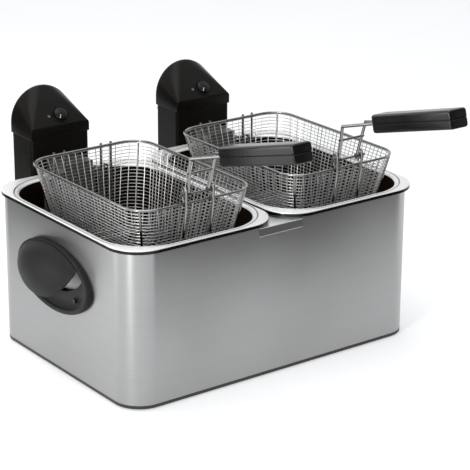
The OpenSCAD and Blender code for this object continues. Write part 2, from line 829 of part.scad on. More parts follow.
// The lamp's lens shows beside the dial
module lamp() {
    color("#3a3634")
    on_panel(lamp_x, dial_s, shell_t + 3) cylinder(d = lamp_d, h = shell_t + 3 + 0.8);
}

module reset_button() {
    color("#a01c18")
    translate([0, case_back_y - cover_t - 2.5, reset_z]) rotate([-90, 0, 0])
        cylinder(d = reset_d, h = cover_t + 2.5 + reset_out);
}

// The cutout sits behind the reset button and is held by the cover
module thermal_cutout() {
    color(BRASS)
    translate([0, case_back_y - cover_t - fit_gap, reset_z]) rotate([90, 0, 0])
        difference() {
            cylinder(d = 22, h = 18);
            translate([0, 0, -1]) cylinder(d = reset_d + 2 * pin_gap + 1, h = 7);
        }
}

module cord_gland() {
    color(BLACK)
    translate([0, case_back_y, gland_z]) rotate([-90, 0, 0])
        difference() {
            union() {
                cylinder(d = gland_d, h = 2.5);
                cylinder(d = gland_d - 4, h = gland_l);
                translate([0, 0, -cover_t - 4]) cylinder(d = gland_d - 6, h = cover_t + 5);
                translate([0, 0, -cover_t - 4]) cylinder(d = gland_d - 3, h = 4 - fit_gap);
            }
            translate([0, 0, -2 * gland_l]) cylinder(d = gland_bore, h = 5 * gland_l);
        }
}

module terminal_block() {
    color("#d8d4c8")
    difference() {
        translate([-22, case_back_y - cover_t - 16 - fit_gap, reset_z + 17]) cube([44, 16, 18]);
        for (x = [-14, 0, 14])
            translate([x, case_back_y - 12, reset_z + 30]) cylinder(d = 4, h = 12);
    }
}

// The switch that cuts the current while the head is off its bracket
module microswitch() {
    color(GREY)
    translate([-10, case_y + shell_t + fit_gap, bracket_z + tongue_h - 8]) cube([20, 6.5, 10]);
}

// ---- Heating element ------------------------------------------------------

module element() {
    x1 = riser_pitch / 2;
    x2 = loop_w / 2;
    x3 = loop_gap / 2;
    y_riser = guard_y + guard_t + element_d / 2 + 1;
    y_back = guard_y - 16;
    y_front = -tank_d / 2 + 40;
    y_mid = y_back - 34;
    color(GREY)
    bent_wire([
        [x1, case_y + 14, riser_z], [x1, y_riser, riser_z], [x1, y_riser, loop_z],
        [x1, y_back, loop_z], [x2, y_back, loop_z], [x2, y_front, loop_z],
        [x3, y_front, loop_z], [x3, y_mid, loop_z], [-x3, y_mid, loop_z],
        [-x3, y_front, loop_z], [-x2, y_front, loop_z], [-x2, y_back, loop_z],
        [-x1, y_back, loop_z], [-x1, y_riser, loop_z], [-x1, y_riser, riser_z],
        [-x1, case_y + 14, riser_z]
    ], element_d, element_d * 0.7);
}

// A bent steel guard stands in front of the risers, covers them over the
// tank's rim and guides the basket's rear hooks in its slots
module element_guard() {
    plate_low = loop_z + 20;
    leg_low = rim_top + seat_gap;
    run = case_y - fit_gap - guard_y;
    color(BRIGHT) {
        difference() {
            translate([-guard_w / 2, guard_y, plate_low]) cube([guard_w, guard_t, plate_top - plate_low]);
            for (x = [-1, 1], p = [-1, 1])
                translate([x * hook_x + p * hook_w / 2 - slot_w / 2, guard_y - 1, plate_top - slot_h])
                    cube([slot_w, guard_t + 2, slot_h + 1]);
        }
        translate([-channel_w / 2, guard_y, plate_top - 1])
            cube([channel_w, guard_t, channel_z - plate_top + 1]);
        translate([-channel_w / 2, guard_y, channel_z - guard_t]) cube([channel_w, run, guard_t]);
        for (x = [-channel_w / 2, channel_w / 2 - guard_t])
            translate([x, guard_y, leg_low]) cube([guard_t, run, channel_z - leg_low]);
    }
}

// The bulb stands behind the guard; its thin tube runs back into the head
module sensor_bulb() {
    y = guard_y + guard_t + bulb_d / 2 + fit_gap;
    color(BRASS) {
        translate([0, y, riser_z - 24 - bulb_l]) cylinder(d = bulb_d, h = bulb_l);
        bent_wire([[0, y, riser_z - 25], [0, y, riser_z], [0, case_y + 10, riser_z]], 2, 4);
    }
}

// ---- Baskets --------------------------------------------------------------

// The corner wires run down to a smaller bottom wire
module basket_frame() {
    color(BRIGHT)
    translate([0, basket_y, 0]) {
        w = basket_w - rim_wire;
        d = basket_d - rim_wire;
        r = basket_r - rim_wire / 2;
        w2 = w - 2 * basket_taper;
        d2 = d - 2 * basket_taper;
        low = basket_low + frame_wire / 2;
        translate([0, 0, rim_z]) ring_sweep(w, d, r) circle(d = rim_wire);
        translate([0, 0, low]) ring_sweep(w2, d2, r) circle(d = frame_wire);
        k = r * (1 - sqrt(0.5));
        for (x = [-1, 1], y = [-1, 1])
            wire([x * (w2 / 2 - k), y * (d2 / 2 - k), low], [x * (w / 2 - k), y * (d / 2 - k), rim_z], frame_wire);
    }
}

// The mesh is held as a thin tapered shell with its outside and inside true
module mesh_form(inset, low) {
    hull() {
        translate([0, 0, mesh_top - 0.5]) linear_extrude(0.5)
            rounded(mesh_w - 2 * inset, mesh_d - 2 * inset, mesh_r - inset, $fn = HULL_FN);
        translate([0, 0, low]) linear_extrude(0.5)
            rounded(mesh_w - 2 * basket_taper - 2 * inset, mesh_d - 2 * basket_taper - 2 * inset, mesh_r - inset, $fn = HULL_FN);
    }
}

module basket_mesh() {
    color(STEEL)
    translate([0, basket_y, 0])
    difference() {
        mesh_form(0, mesh_low);
        mesh_form(mesh_t, mesh_low + mesh_t);
        translate([0, 0, mesh_top - 0.5]) linear_extrude(2)
            rounded(mesh_w - 2 * mesh_t, mesh_d - 2 * mesh_t, mesh_r - mesh_t, $fn = HULL_FN);
    }
}

// Two narrow hooks, of two prongs each, hang on the basket's back and run in
// the guard's slots
module basket_hooks() {
    y0 = basket_back + rim_wire / 2 + fit_gap;
    y1 = guard_y + guard_t + 4;
    color(BRIGHT)
    for (x = [-1, 1], p = [-1, 1]) {
        px = x * hook_x + p * hook_w / 2;
        bent_wire([
            [px, y0, rim_z + 3], [px, y0, plate_top], [px, y1, plate_top], [px, y1, plate_top - 9]
        ], rim_wire, 2);
    }
}

// Two wires hooked over the rim carry the bar that the handle turns on
module handle_bracket() {
    top = rim_z + bracket_up - bracket_wire / 2;
    drift = basket_taper * (bracket_down - 6) / basket_h;
    knee = rim_z - 4;
    color(BRIGHT) {
        for (x = [-bracket_pitch / 2, bracket_pitch / 2]) {
            bent_wire([
                [x, outer_y, knee], [x, outer_y, top], [x, inner_y, top], [x, inner_y, rim_z + rim_wire]
            ], bracket_wire, 2.4);
            translate([x, outer_y, knee]) sphere(d = bracket_wire * 1.05);
            wire([x, outer_y, knee], [x, outer_y + drift, rim_z - bracket_down], bracket_wire);
            translate([x - lug_t / 2, outer_y, pivot_z - lug_h / 2]) cube([lug_t, inner_y - outer_y, lug_h]);
        }
        translate([-pivot_l / 2, pivot_y, pivot_z]) rotate([0, 90, 0]) cylinder(d = pivot_d, h = pivot_l);
    }
}

// The folding handle's wire: an eye on each foot, two legs, a cross wire and
// two arms that close in towards the grip
module handle_wire() {
    eye_d = pivot_d + 2 * pin_gap + 4;
    knee = [leg_x + knee_spread, pivot_y - knee_out, pivot_z + knee_up];
    entry = [grip_in, grip_start[1], grip_start[2]];
    cross_y = pivot_y - knee_out * cross_up / knee_up;
    color(BRIGHT)
    difference() {
        union() {
            for (s = [0, 1]) mirror([s, 0, 0]) {
                translate([leg_x - eye_w / 2, pivot_y, pivot_z]) rotate([0, 90, 0]) cylinder(d = eye_d, h = eye_w);
                foot = [leg_x, pivot_y, pivot_z + pivot_d / 2 + pin_gap];
                wire(foot, knee, handle_wire_d);
                translate(knee) sphere(d = handle_wire_d * 1.05);
                wire(knee, entry, handle_wire_d);
                translate(entry) sphere(d = handle_wire_d * 1.05);
                wire(entry, entry + grip_wire_l * [0, -cos(grip_tilt), sin(grip_tilt)], handle_wire_d);
            }
            translate([-leg_x - 5, cross_y, pivot_z + cross_up]) rotate([0, 90, 0]) cylinder(d = 3.2, h = 2 * leg_x + 10);
        }
        translate([-bracket_pitch, pivot_y, pivot_z]) rotate([0, 90, 0])
            cylinder(d = pivot_d + 2 * pin_gap, h = 2 * bracket_pitch);
    }
}

// The grip is a moulded bar with rounded long edges and two bores for the wire
module grip() {
    color(BLACK)
    translate(grip_start) rotate([90 - grip_tilt, 0, 0])
    difference() {
        linear_extrude(grip_l) rounded(grip_w, grip_h, grip_r);
        for (x = [-grip_in, grip_in])
            translate([x, 0, -1]) cylinder(d = handle_wire_d + 2 * fit_gap, h = grip_wire_l + 2 + fit_gap);
    }
}

housing();
base_tray();
feet();
base_screws();
centre_bridge();
mirror([1, 0, 0]) carry_handle();  // left_carry_handle
carry_handle();  // right_carry_handle
carry_screws();
mirror([1, 0, 0]) backing_plate();  // left_backing_plate
backing_plate();  // right_backing_plate
on_left() rear_bracket();  // left_rear_bracket
on_right() rear_bracket();  // right_rear_bracket
bracket_rivets();
on_left() tank();  // left_tank
on_right() tank();  // right_tank
on_left() head_case();  // left_head_case
on_right() head_case();  // right_head_case
on_left() head_cap();  // left_head_cap
on_right() head_cap();  // right_head_cap
on_left() rear_cover();  // left_rear_cover
on_right() rear_cover();  // right_rear_cover
on_left() head_screws();  // left_head_screws
on_right() head_screws();  // right_head_screws
on_left() dial();  // left_dial
on_right() dial();  // right_dial
on_left() thermostat_body();  // left_thermostat
on_right() thermostat_body();  // right_thermostat
on_left() lamp();  // left_lamp
on_right() lamp();  // right_lamp
on_left() reset_button();  // left_reset_button
on_right() reset_button();  // right_reset_button
on_left() thermal_cutout();  // left_cutout
on_right() thermal_cutout();  // right_cutout
on_left() cord_gland();  // left_cord_gland
on_right() cord_gland();  // right_cord_gland
on_left() terminal_block();  // left_terminal_block
on_right() terminal_block();  // right_terminal_block
on_left() microswitch();  // left_microswitch
on_right() microswitch();  // right_microswitch
on_left() element();  // left_element
on_right() element();  // right_element
on_left() element_guard();  // left_element_guard
on_right() element_guard();  // right_element_guard
on_left() sensor_bulb();  // left_sensor_bulb
on_right() sensor_bulb();  // right_sensor_bulb
on_left() basket_frame();  // left_basket_frame
on_right() basket_frame();  // right_basket_frame
on_left() basket_mesh();  // left_basket_mesh
on_right() basket_mesh();  // right_basket_mesh
on_left() basket_hooks();  // left_basket_hooks
on_right() basket_hooks();  // right_basket_hooks
on_left() handle_bracket();  // left_handle_bracket
on_right() handle_bracket();  // right_handle_bracket
on_left() handle_wire();  // left_handle_wire
on_right() handle_wire();  // right_handle_wire
on_left() grip();  // left_grip
on_right() grip();  // right_grip
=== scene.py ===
import math

import bmesh
import bpy
from mathutils import Matrix, Vector


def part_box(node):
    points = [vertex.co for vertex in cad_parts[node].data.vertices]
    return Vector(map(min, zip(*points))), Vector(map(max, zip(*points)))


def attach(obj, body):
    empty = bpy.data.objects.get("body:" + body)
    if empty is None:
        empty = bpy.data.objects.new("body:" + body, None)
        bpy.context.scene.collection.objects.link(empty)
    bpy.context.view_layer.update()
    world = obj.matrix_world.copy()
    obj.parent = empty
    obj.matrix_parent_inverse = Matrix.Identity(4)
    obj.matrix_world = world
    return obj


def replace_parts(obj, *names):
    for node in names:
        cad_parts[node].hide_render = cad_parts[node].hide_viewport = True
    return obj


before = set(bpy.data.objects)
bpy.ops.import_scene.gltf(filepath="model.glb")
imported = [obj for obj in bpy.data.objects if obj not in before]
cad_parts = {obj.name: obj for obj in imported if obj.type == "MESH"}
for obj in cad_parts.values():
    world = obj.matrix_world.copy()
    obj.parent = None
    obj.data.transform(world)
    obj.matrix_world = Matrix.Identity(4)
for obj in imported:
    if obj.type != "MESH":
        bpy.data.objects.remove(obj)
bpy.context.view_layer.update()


# ---- Camera -----------------------------------------------------------------
# The camera stands in front, a little to the left and above the baskets, with
# a long lens.
MM = 0.001
camera_place = Vector((-1311.07, -1810.08, 940.05)) * MM
camera_yaw = math.radians(-36.877)
camera_pitch = math.radians(19.792)
camera_roll = math.radians(0.366)
camera_data = bpy.data.cameras.new("camera")
camera_data.lens = 141.44
camera_data.sensor_width = 36
camera = bpy.data.objects.new("camera", camera_data)
bpy.context.collection.objects.link(camera)
camera.matrix_world = (
    Matrix.Translation(camera_place)
    @ Matrix.Rotation(camera_yaw, 4, "Z")
    @ Matrix.Rotation(math.pi / 2 - camera_pitch, 4, "X")
    @ Matrix.Rotation(camera_roll, 4, "Z")
)
bpy.context.scene.camera = camera


# ---- Studio -----------------------------------------------------------------
# A white room: a pale floor that keeps the shadow, a white world and four soft
# lamps, two on the left, one on the right and one above. Dark cards out of
# sight give the shiny surfaces something dark to mirror.
def new_material(name):
    material = bpy.data.materials.new(name)
    material.use_nodes = True
    tree = material.node_tree
    tree.nodes.clear()
    return material, tree, tree.nodes.new("ShaderNodeOutputMaterial")


def link_chain(tree, *steps):
    """Links (output, input) pairs."""
    for start, end in steps:
        tree.links.new(start, end)


def seen_directly(tree):
    """1 for rays from the camera, from shiny surfaces and through glass."""
    path = tree.nodes.new("ShaderNodeLightPath")
    shiny = tree.nodes.new("ShaderNodeMath")
    shiny.operation = "MAXIMUM"
    glass = tree.nodes.new("ShaderNodeMath")
    glass.operation = "MAXIMUM"
    link_chain(
        tree,
        (path.outputs["Is Camera Ray"], shiny.inputs[0]),
        (path.outputs["Is Glossy Ray"], shiny.inputs[1]),
        (shiny.outputs[0], glass.inputs[0]),
        (path.outputs["Is Transmission Ray"], glass.inputs[1]),
    )
    return glass.outputs[0]


def white_world(soft_light):
    world = bpy.data.worlds.new("studio")
    world.use_nodes = True
    bpy.context.scene.world = world
    tree = world.node_tree
    tree.nodes.clear()
    output = tree.nodes.new("ShaderNodeOutputWorld")
    mix = tree.nodes.new("ShaderNodeMixShader")
    lamp = tree.nodes.new("ShaderNodeBackground")
    lamp.inputs["Color"].default_value = (0.93, 0.96, 1.0, 1)
    lamp.inputs["Strength"].default_value = soft_light
    backdrop = tree.nodes.new("ShaderNodeBackground")
    backdrop.inputs["Color"].default_value = (1, 1, 1, 1)
    link_chain(
        tree,
        (seen_directly(tree), mix.inputs[0]),
        (lamp.outputs[0], mix.inputs[1]),
        (backdrop.outputs[0], mix.inputs[2]),
        (mix.outputs[0], output.inputs["Surface"]),
    )


def studio_sheet(name, bm, material):
    """Puts a flat sheet in the studio."""
    mesh = bpy.data.meshes.new(name)
    bm.to_mesh(mesh)
    bm.free()
    mesh.materials.append(material)
    sheet = bpy.data.objects.new(name, mesh)
    bpy.context.collection.objects.link(sheet)
    return sheet


def pale_floor(size, glow):
    """A floor that takes the shadow and glows a little towards the camera."""
    material, tree, output = new_material("pale_floor")
    add = tree.nodes.new("ShaderNodeAddShader")
    diffuse = tree.nodes.new("ShaderNodeBsdfDiffuse")
    diffuse.inputs["Color"].default_value = (0.86, 0.86, 0.86, 1)
    emission = tree.nodes.new("ShaderNodeEmission")
    strength = tree.nodes.new("ShaderNodeMath")
    strength.operation = "MULTIPLY"
    strength.inputs[1].default_value = glow
    link_chain(
        tree,
        (seen_directly(tree), strength.inputs[0]),
        (strength.outputs[0], emission.inputs["Strength"]),
        (diffuse.outputs[0], add.inputs[0]),
        (emission.outputs[0], add.inputs[1]),
        (add.outputs[0], output.inputs["Surface"]),
    )
    bm = bmesh.new()
    bmesh.ops.create_grid(bm, x_segments=1, y_segments=1, size=size)
    studio_sheet("floor", bm, material)


def soft_lamp(name, place, target, size, power):
    data = bpy.data.lights.new(name, "AREA")
    data.size = size
    data.energy = power
    lamp = bpy.data.objects.new(name, data)
    bpy.context.collection.objects.link(lamp)
    lamp.location = place
    look = Vector(target) - Vector(place)
    lamp.rotation_euler = look.to_track_quat("-Z", "Y").to_euler()


def dark_card(name, start, end, low, high, shade):
    """An upright dark card between two places on the floor plan, which only shiny surfaces mirror."""
    material, tree, output = new_material(name)
    emission = tree.nodes.new("ShaderNodeEmission")
    emission.inputs["Color"].default_value = (shade, shade, shade, 1)
    tree.links.new(emission.outputs[0], output.inputs["Surface"])
    bm = bmesh.new()
    made = bmesh.ops.create_grid(bm, x_segments=1, y_segments=1, size=0.5)["verts"]
    along = Vector(end) - Vector(start)
    bmesh.ops.scale(bm, vec=(along.length, high - low, 1), verts=made)
    upright = Matrix.Rotation(math.pi / 2, 3, "X")
    heading = Matrix.Rotation(math.atan2(along.y, along.x), 3, "Z")
    bmesh.ops.rotate(bm, cent=(0, 0, 0), matrix=upright, verts=made)
    bmesh.ops.rotate(bm, cent=(0, 0, 0), matrix=heading, verts=made)
    centre = (Vector(start) + Vector(end)) / 2
    bmesh.ops.translate(bm, vec=(centre.x, centre.y, (low + high) / 2), verts=made)
    card = studio_sheet(name, bm, material)
    card.visible_camera = False
    card.visible_diffuse = False
    card.visible_shadow = False
    card.visible_transmission = False


white_world(soft_light=0.5)
pale_floor(size=6, glow=0.42)
dark_card("front_card", (-0.02, -0.52), (0.66, -0.36), 0.0, 0.5, 0.03)
dark_card("side_card", (-0.44, 0.20), (-0.40, 1.05), 0.0, 0.5, 0.04)
dark_card("high_card", (-0.2, -1.35), (1.5, -0.7), 0.3, 1.3, 0.03)
middle = (0, 0, 0.12)
soft_lamp("front_lamp", (-2.05, -0.95, 0.75), middle, 0.5, 22)
soft_lamp("side_lamp", (-1.5, 1.0, 0.5), middle, 0.9, 6)
soft_lamp("right_lamp", (1.7, -1.5, 0.35), middle, 0.6, 3)
soft_lamp("top_lamp", (0.0, 0.3, 2.3), middle, 1.5, 16)
bpy.context.scene.view_settings.view_transform = "Standard"


# ---- Base tray, feet and base screws ----------------------------------------
# A black painted steel tray closes the body from below. Rubber feet are
# pushed into it and zinc plated screws hold it to the body's turned-in edge.
def group_socket(group, name, way, kind, value=None):
    socket = group.interface.new_socket(name=name, in_out=way, socket_type=kind)
    if value is not None:
        socket.default_value = value


def build_grain():
    """Fine moulded or painted grain: a value round 0.5, and a bump from it."""
    group = bpy.data.node_groups.new("fine_grain", "ShaderNodeTree")
    group_socket(group, "Vector", "INPUT", "NodeSocketVector")
    group_socket(group, "Scale", "INPUT", "NodeSocketFloat", 900)
    group_socket(group, "Depth", "INPUT", "NodeSocketFloat", 0.1)
    group_socket(group, "Patchy", "OUTPUT", "NodeSocketFloat")
    group_socket(group, "Normal", "OUTPUT", "NodeSocketVector")
    come = group.nodes.new("NodeGroupInput")
    go = group.nodes.new("NodeGroupOutput")
    fine = group.nodes.new("ShaderNodeTexNoise")
    fine.inputs["Detail"].default_value = 3
    broad = group.nodes.new("ShaderNodeTexNoise")
    broad.inputs["Scale"].default_value = 22
    broad.inputs["Detail"].default_value = 4
    bump = group.nodes.new("ShaderNodeBump")
    bump.inputs["Distance"].default_value = 0.0004
    link_chain(
        group,
        (come.outputs["Vector"], fine.inputs["Vector"]),
        (come.outputs["Vector"], broad.inputs["Vector"]),
        (come.outputs["Scale"], fine.inputs["Scale"]),
        (come.outputs["Depth"], bump.inputs["Strength"]),
        (fine.outputs["Fac"], bump.inputs["Height"]),
        (broad.outputs["Fac"], go.inputs["Patchy"]),
        (bump.outputs["Normal"], go.inputs["Normal"]),
    )
    return group


grain = build_grain()


def from_to(tree, value, low, high):
    """Turns the middle of a noise's values into the range low to high."""
    node = tree.nodes.new("ShaderNodeMapRange")
    node.inputs["From Min"].default_value = 0.3
    node.inputs["From Max"].default_value = 0.7
    node.inputs["To Min"].default_value = low
    node.inputs["To Max"].default_value = high
    tree.links.new(value, node.inputs["Value"])
    return node.outputs["Result"]


def two_tones(tree, value, first, second):
    """A colour between two, by a 0 to 1 value."""
    node = tree.nodes.new("ShaderNodeMix")
    node.data_type = "RGBA"
    node.inputs["A"].default_value = (*first, 1)
    node.inputs["B"].default_value = (*second, 1)
    tree.links.new(value, node.inputs["Factor"])
    return node.outputs["Result"]


def grained(name, dark, light, rough, metallic=0.0, scale=900, depth=0.1, gloss=0.5):
    """Plastic, rubber, paint or plate: two close tones and a fine grain."""
    material, tree, output = new_material(name)
    shader = tree.nodes.new("ShaderNodeBsdfPrincipled")
    shader.inputs["Specular IOR Level"].default_value = gloss
    shader.inputs["Metallic"].default_value = metallic
    where = tree.nodes.new("ShaderNodeTexCoord")
    texture = tree.nodes.new("ShaderNodeGroup")
    texture.node_tree = grain
    texture.inputs["Scale"].default_value = scale
    texture.inputs["Depth"].default_value = depth
    link_chain(
        tree,
        (where.outputs["Object"], texture.inputs["Vector"]),
        (two_tones(tree, texture.outputs["Patchy"], dark, light), shader.inputs["Base Color"]),
        (from_to(tree, texture.outputs["Patchy"], rough - 0.04, rough + 0.04), shader.inputs["Roughness"]),
        (texture.outputs["Normal"], shader.inputs["Normal"]),
        (shader.outputs["BSDF"], output.inputs["Surface"]),
    )
    return material


def paint(material, *nodes):
    """Gives CAD nodes their finish."""
    for name in nodes:
        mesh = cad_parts[name].data
        mesh.materials.clear()
        mesh.materials.append(material)


paint(grained("black_paint", (0.02, 0.02, 0.021), (0.035, 0.035, 0.036), 0.45), "base_tray")
paint(grained("foot_rubber", (0.012, 0.012, 0.012), (0.022, 0.022, 0.022), 0.8, scale=600), "feet")
zinc = grained("zinc_plate", (0.42, 0.42, 0.43), (0.55, 0.55, 0.56), 0.38, metallic=1.0, scale=500)
paint(zinc, "base_screws")


# ---- Body -------------------------------------------------------------------
# One wrap of 1 mm stainless sheet, brushed along its length, with the top and
# bottom edges turned in and a notch at the front and back for the bridge.
def rounded_box(bm, w, d, low, high, r, steps):
    """A box with rounded upright edges, standing from low to high."""
    made = bmesh.ops.create_cube(bm, size=1)["verts"]
    bmesh.ops.scale(bm, vec=(w, d, high - low), verts=made)
    bmesh.ops.translate(bm, vec=(0, 0, (low + high) / 2), verts=made)
    upright = [e for e in bm.edges if abs(e.verts[0].co.z - e.verts[1].co.z) > 1e-6]
    bmesh.ops.bevel(
        bm, geom=upright, offset=r, offset_type="OFFSET", segments=steps, profile=0.5,
        affect="EDGES", material=-1,
    )


def facing(bm, direction):
    """The faces that look in a direction."""
    bm.normal_update()
    return [f for f in bm.faces if f.normal.dot(Vector(direction)) > 0.99]


def piece(name, bm, body, materials, finish=(), sharp=35):
    """Turns a bmesh into a finished piece: modifiers applied, edges shaded."""
    mesh = bpy.data.meshes.new(name)
    bm.to_mesh(mesh)
    bm.free()
    made = bpy.data.objects.new(name, mesh)
    bpy.context.collection.objects.link(made)
    for material in materials:
        mesh.materials.append(material)
    for kind, settings in finish:
        modifier = made.modifiers.new(kind.lower(), kind)
        for key, value in settings.items():
            setattr(modifier, key, value)
    if finish:
        shown = made.evaluated_get(bpy.context.evaluated_depsgraph_get())
        made.data = bpy.data.meshes.new_from_object(shown)
        made.data.name = name
        made.modifiers.clear()
        bpy.data.meshes.remove(mesh)
    made.data.shade_smooth()
    made.data.set_sharp_from_angle(angle=math.radians(sharp))
    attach(made, body)
    return made


def bevelled(width, steps=2, angle=35):
    return ("BEVEL", {
        "width": width, "segments": steps, "limit_method": "ANGLE",
        "angle_limit": math.radians(angle), "harden_normals": False,
    })


def walled(thickness):
    return ("SOLIDIFY", {"thickness": thickness, "offset": -1, "use_even_offset": True})


def build_brushing():
    """Lines of a brushed or polished metal: long scratches and soft bands."""
    group = bpy.data.node_groups.new("brushing", "ShaderNodeTree")
    group_socket(group, "Vector", "INPUT", "NodeSocketVector")
    group_socket(group, "Stretch", "INPUT", "NodeSocketVector", (3, 3, 900))
    group_socket(group, "Depth", "INPUT", "NodeSocketFloat", 0.1)
    group_socket(group, "Lines", "OUTPUT", "NodeSocketFloat")
    group_socket(group, "Bands", "OUTPUT", "NodeSocketFloat")
    group_socket(group, "Normal", "OUTPUT", "NodeSocketVector")
    come = group.nodes.new("NodeGroupInput")
    go = group.nodes.new("NodeGroupOutput")
    stretch = group.nodes.new("ShaderNodeVectorMath")
    stretch.operation = "MULTIPLY"
    lines = group.nodes.new("ShaderNodeTexNoise")
    lines.inputs["Scale"].default_value = 1
    lines.inputs["Detail"].default_value = 5
    lines.inputs["Roughness"].default_value = 0.7
    bands = group.nodes.new("ShaderNodeTexNoise")
    bands.inputs["Scale"].default_value = 6
    bands.inputs["Detail"].default_value = 3
    bump = group.nodes.new("ShaderNodeBump")
    bump.inputs["Distance"].default_value = 0.0002
    link_chain(
        group,
        (come.outputs["Vector"], stretch.inputs[0]),
        (come.outputs["Stretch"], stretch.inputs[1]),
        (stretch.outputs[0], lines.inputs["Vector"]),
        (come.outputs["Vector"], bands.inputs["Vector"]),
        (come.outputs["Depth"], bump.inputs["Strength"]),
        (lines.outputs["Fac"], bump.inputs["Height"]),
        (lines.outputs["Fac"], go.inputs["Lines"]),
        (bands.outputs["Fac"], go.inputs["Bands"]),
        (bump.outputs["Normal"], go.inputs["Normal"]),
    )
    return group


brushing = build_brushing()


def metal(name, dark, light, rough, stretch=(3, 3, 900), depth=0.1, spread=0.0, bare=1.0):
    """Metal with the marks of its brushing or polishing.

    Spread stretches its highlights upwards, and bare is its share of bare metal.
    """
    material, tree, output = new_material(name)
    shader = tree.nodes.new("ShaderNodeBsdfPrincipled")
    shader.inputs["Metallic"].default_value = bare
    shader.inputs["Anisotropic"].default_value = spread
    shader.inputs["Anisotropic Rotation"].default_value = 0.25
    where = tree.nodes.new("ShaderNodeTexCoord")
    marks = tree.nodes.new("ShaderNodeGroup")
    marks.node_tree = brushing
    marks.inputs["Stretch"].default_value = stretch
    marks.inputs["Depth"].default_value = depth
    link_chain(
        tree,
        (where.outputs["Object"], marks.inputs["Vector"]),
        (two_tones(tree, marks.outputs["Lines"], dark, light), shader.inputs["Base Color"]),
        (from_to(tree, marks.outputs["Bands"], rough - 0.05, rough + 0.05), shader.inputs["Roughness"]),
        (marks.outputs["Normal"], shader.inputs["Normal"]),
        (shader.outputs["BSDF"], output.inputs["Surface"]),
    )
    return material


brushed_steel = metal(
    "brushed_steel", (0.36, 0.36, 0.36), (0.44, 0.44, 0.44), 0.34, (2, 2, 1500), 0.12, spread=0.8,
)

body_low, body_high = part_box("housing")
body_w = body_high.x - body_low.x
body_d = body_high.y - body_low.y
body_top = body_high.z
body_r = 36 * MM
sheet_t = 1 * MM
top_turn = 2.5 * MM
bottom_turn = 14 * MM
tab_h = 11 * MM
bridge_low, bridge_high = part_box("centre_bridge")
notch_half = bridge_high.x
notch_z = bridge_low.z + tab_h - sheet_t


def build_body():
    bm = bmesh.new()
    rounded_box(bm, body_w, body_d, body_low.z, body_top, body_r, 16)
    for direction, turn in (((0, 0, 1), top_turn), ((0, 0, -1), bottom_turn)):
        ends = facing(bm, direction)
        bmesh.ops.inset_region(bm, faces=ends, thickness=turn, use_even_offset=True)
        bmesh.ops.delete(bm, geom=ends, context="FACES")
    for place, normal in (
        ((0, 0, notch_z), (0, 0, 1)),
        ((notch_half, 0, 0), (1, 0, 0)),
        ((-notch_half, 0, 0), (1, 0, 0)),
    ):
        everything = bm.verts[:] + bm.edges[:] + bm.faces[:]
        bmesh.ops.bisect_plane(bm, geom=everything, plane_co=place, plane_no=normal)
    notch = [
        f for f in bm.faces
        if abs(f.calc_center_median().x) < notch_half
        and f.calc_center_median().z > notch_z
    ]
    bmesh.ops.delete(bm, geom=notch, context="FACES")
    finish = [walled(sheet_t), bevelled(0.35 * MM)]
    return piece("body_sheet", bm, "fryer_body", [brushed_steel], finish)


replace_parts(build_body(), "housing")


# ---- Centre bridge ----------------------------------------------------------
# A bent strip of steel sheet between the tanks, lapped over the front and back
# edges of the body, with a rib that the two tank rims rest on. It is a dark
# steel with painted highlights: its level parts are painted near-white and its
# tabs' lower edges a light band, both brighter than the tabs.
bright_steel = metal("bright_steel", (0.62, 0.62, 0.61), (0.72, 0.72, 0.71), 0.22, (400, 6, 6), 0.06)
bridge_steel = metal(
    "bridge_steel", (0.13, 0.13, 0.13), (0.17, 0.17, 0.17), 0.36, (2, 2, 1500), 0.12, bare=0.5,
)
level_part = 4.6 * MM
tab_edge = 0.7 * MM
past_edge = 1 * MM


def painted_highlight_between(material, low, high, highlight_tone):
    """Paints a highlight on a metal: a brighter colour between two heights."""
    tree = material.node_tree
    shader = next(n for n in tree.nodes if n.type == "BSDF_PRINCIPLED")
    plain = shader.inputs["Base Color"].links[0].from_socket
    where = tree.nodes.new("ShaderNodeTexCoord")
    height = tree.nodes.new("ShaderNodeSeparateXYZ")
    inside = tree.nodes.new("ShaderNodeMath")
    inside.operation = "COMPARE"
    inside.inputs[1].default_value = (low + high) / 2
    inside.inputs[2].default_value = (high - low) / 2
    bright = tree.nodes.new("ShaderNodeMix")
    bright.data_type = "RGBA"
    bright.inputs["B"].default_value = (*highlight_tone, 1)
    link_chain(
        tree,
        (where.outputs["Object"], height.inputs["Vector"]),
        (height.outputs["Z"], inside.inputs[0]),
        (inside.outputs[0], bright.inputs["Factor"]),
        (plain, bright.inputs["A"]),
        (bright.outputs["Result"], shader.inputs["Base Color"]),
    )


# Painted highlights on the bridge's level top and on the tabs' lower edges.
painted_highlight_between(bridge_steel, bridge_high.z - level_part, bridge_high.z + past_edge, (0.97, 0.97, 0.96))
painted_highlight_between(bridge_steel, bridge_low.z - past_edge, bridge_low.z + tab_edge, (0.80, 0.80, 0.79))
paint(bridge_steel, "centre_bridge")


# ---- Carry handles ----------------------------------------------------------
# Each is one black moulding screwed to the side: an oval frame, a hood to
# lift by and a dished plate below it. A zinc plated bar behind takes the screws.
SIDES = {"left": -1, "right": 1}
satin_black = grained(
    "satin_black", (0.014, 0.014, 0.015), (0.022, 0.022, 0.023), 0.48, scale=1400, depth=0.12, gloss=0.15,
)
carry_low, carry_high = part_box("left_carry_handle")
oval_half_w = (carry_high.y - carry_low.y) / 2
oval_half_h = (carry_high.z - carry_low.z) / 2
oval_y = (carry_low.y + carry_high.y) / 2
oval_z = (carry_low.z + carry_high.z) / 2
side_x = body_w / 2
oval_steps = 96
band = 7 * MM
band_out = 7 * MM
plate_inset = 6 * MM
plate_out = 5.6 * MM
plate_hollow = 4 * MM
hood_inset = 4 * MM
hood_out = 32.5 * MM
hood_wall = 3.2 * MM
hood_start = 9 * MM


def once_each(parts):
    """Drops repeats and keeps the order, so that each run works in the same order."""
    return list(dict.fromkeys(parts))


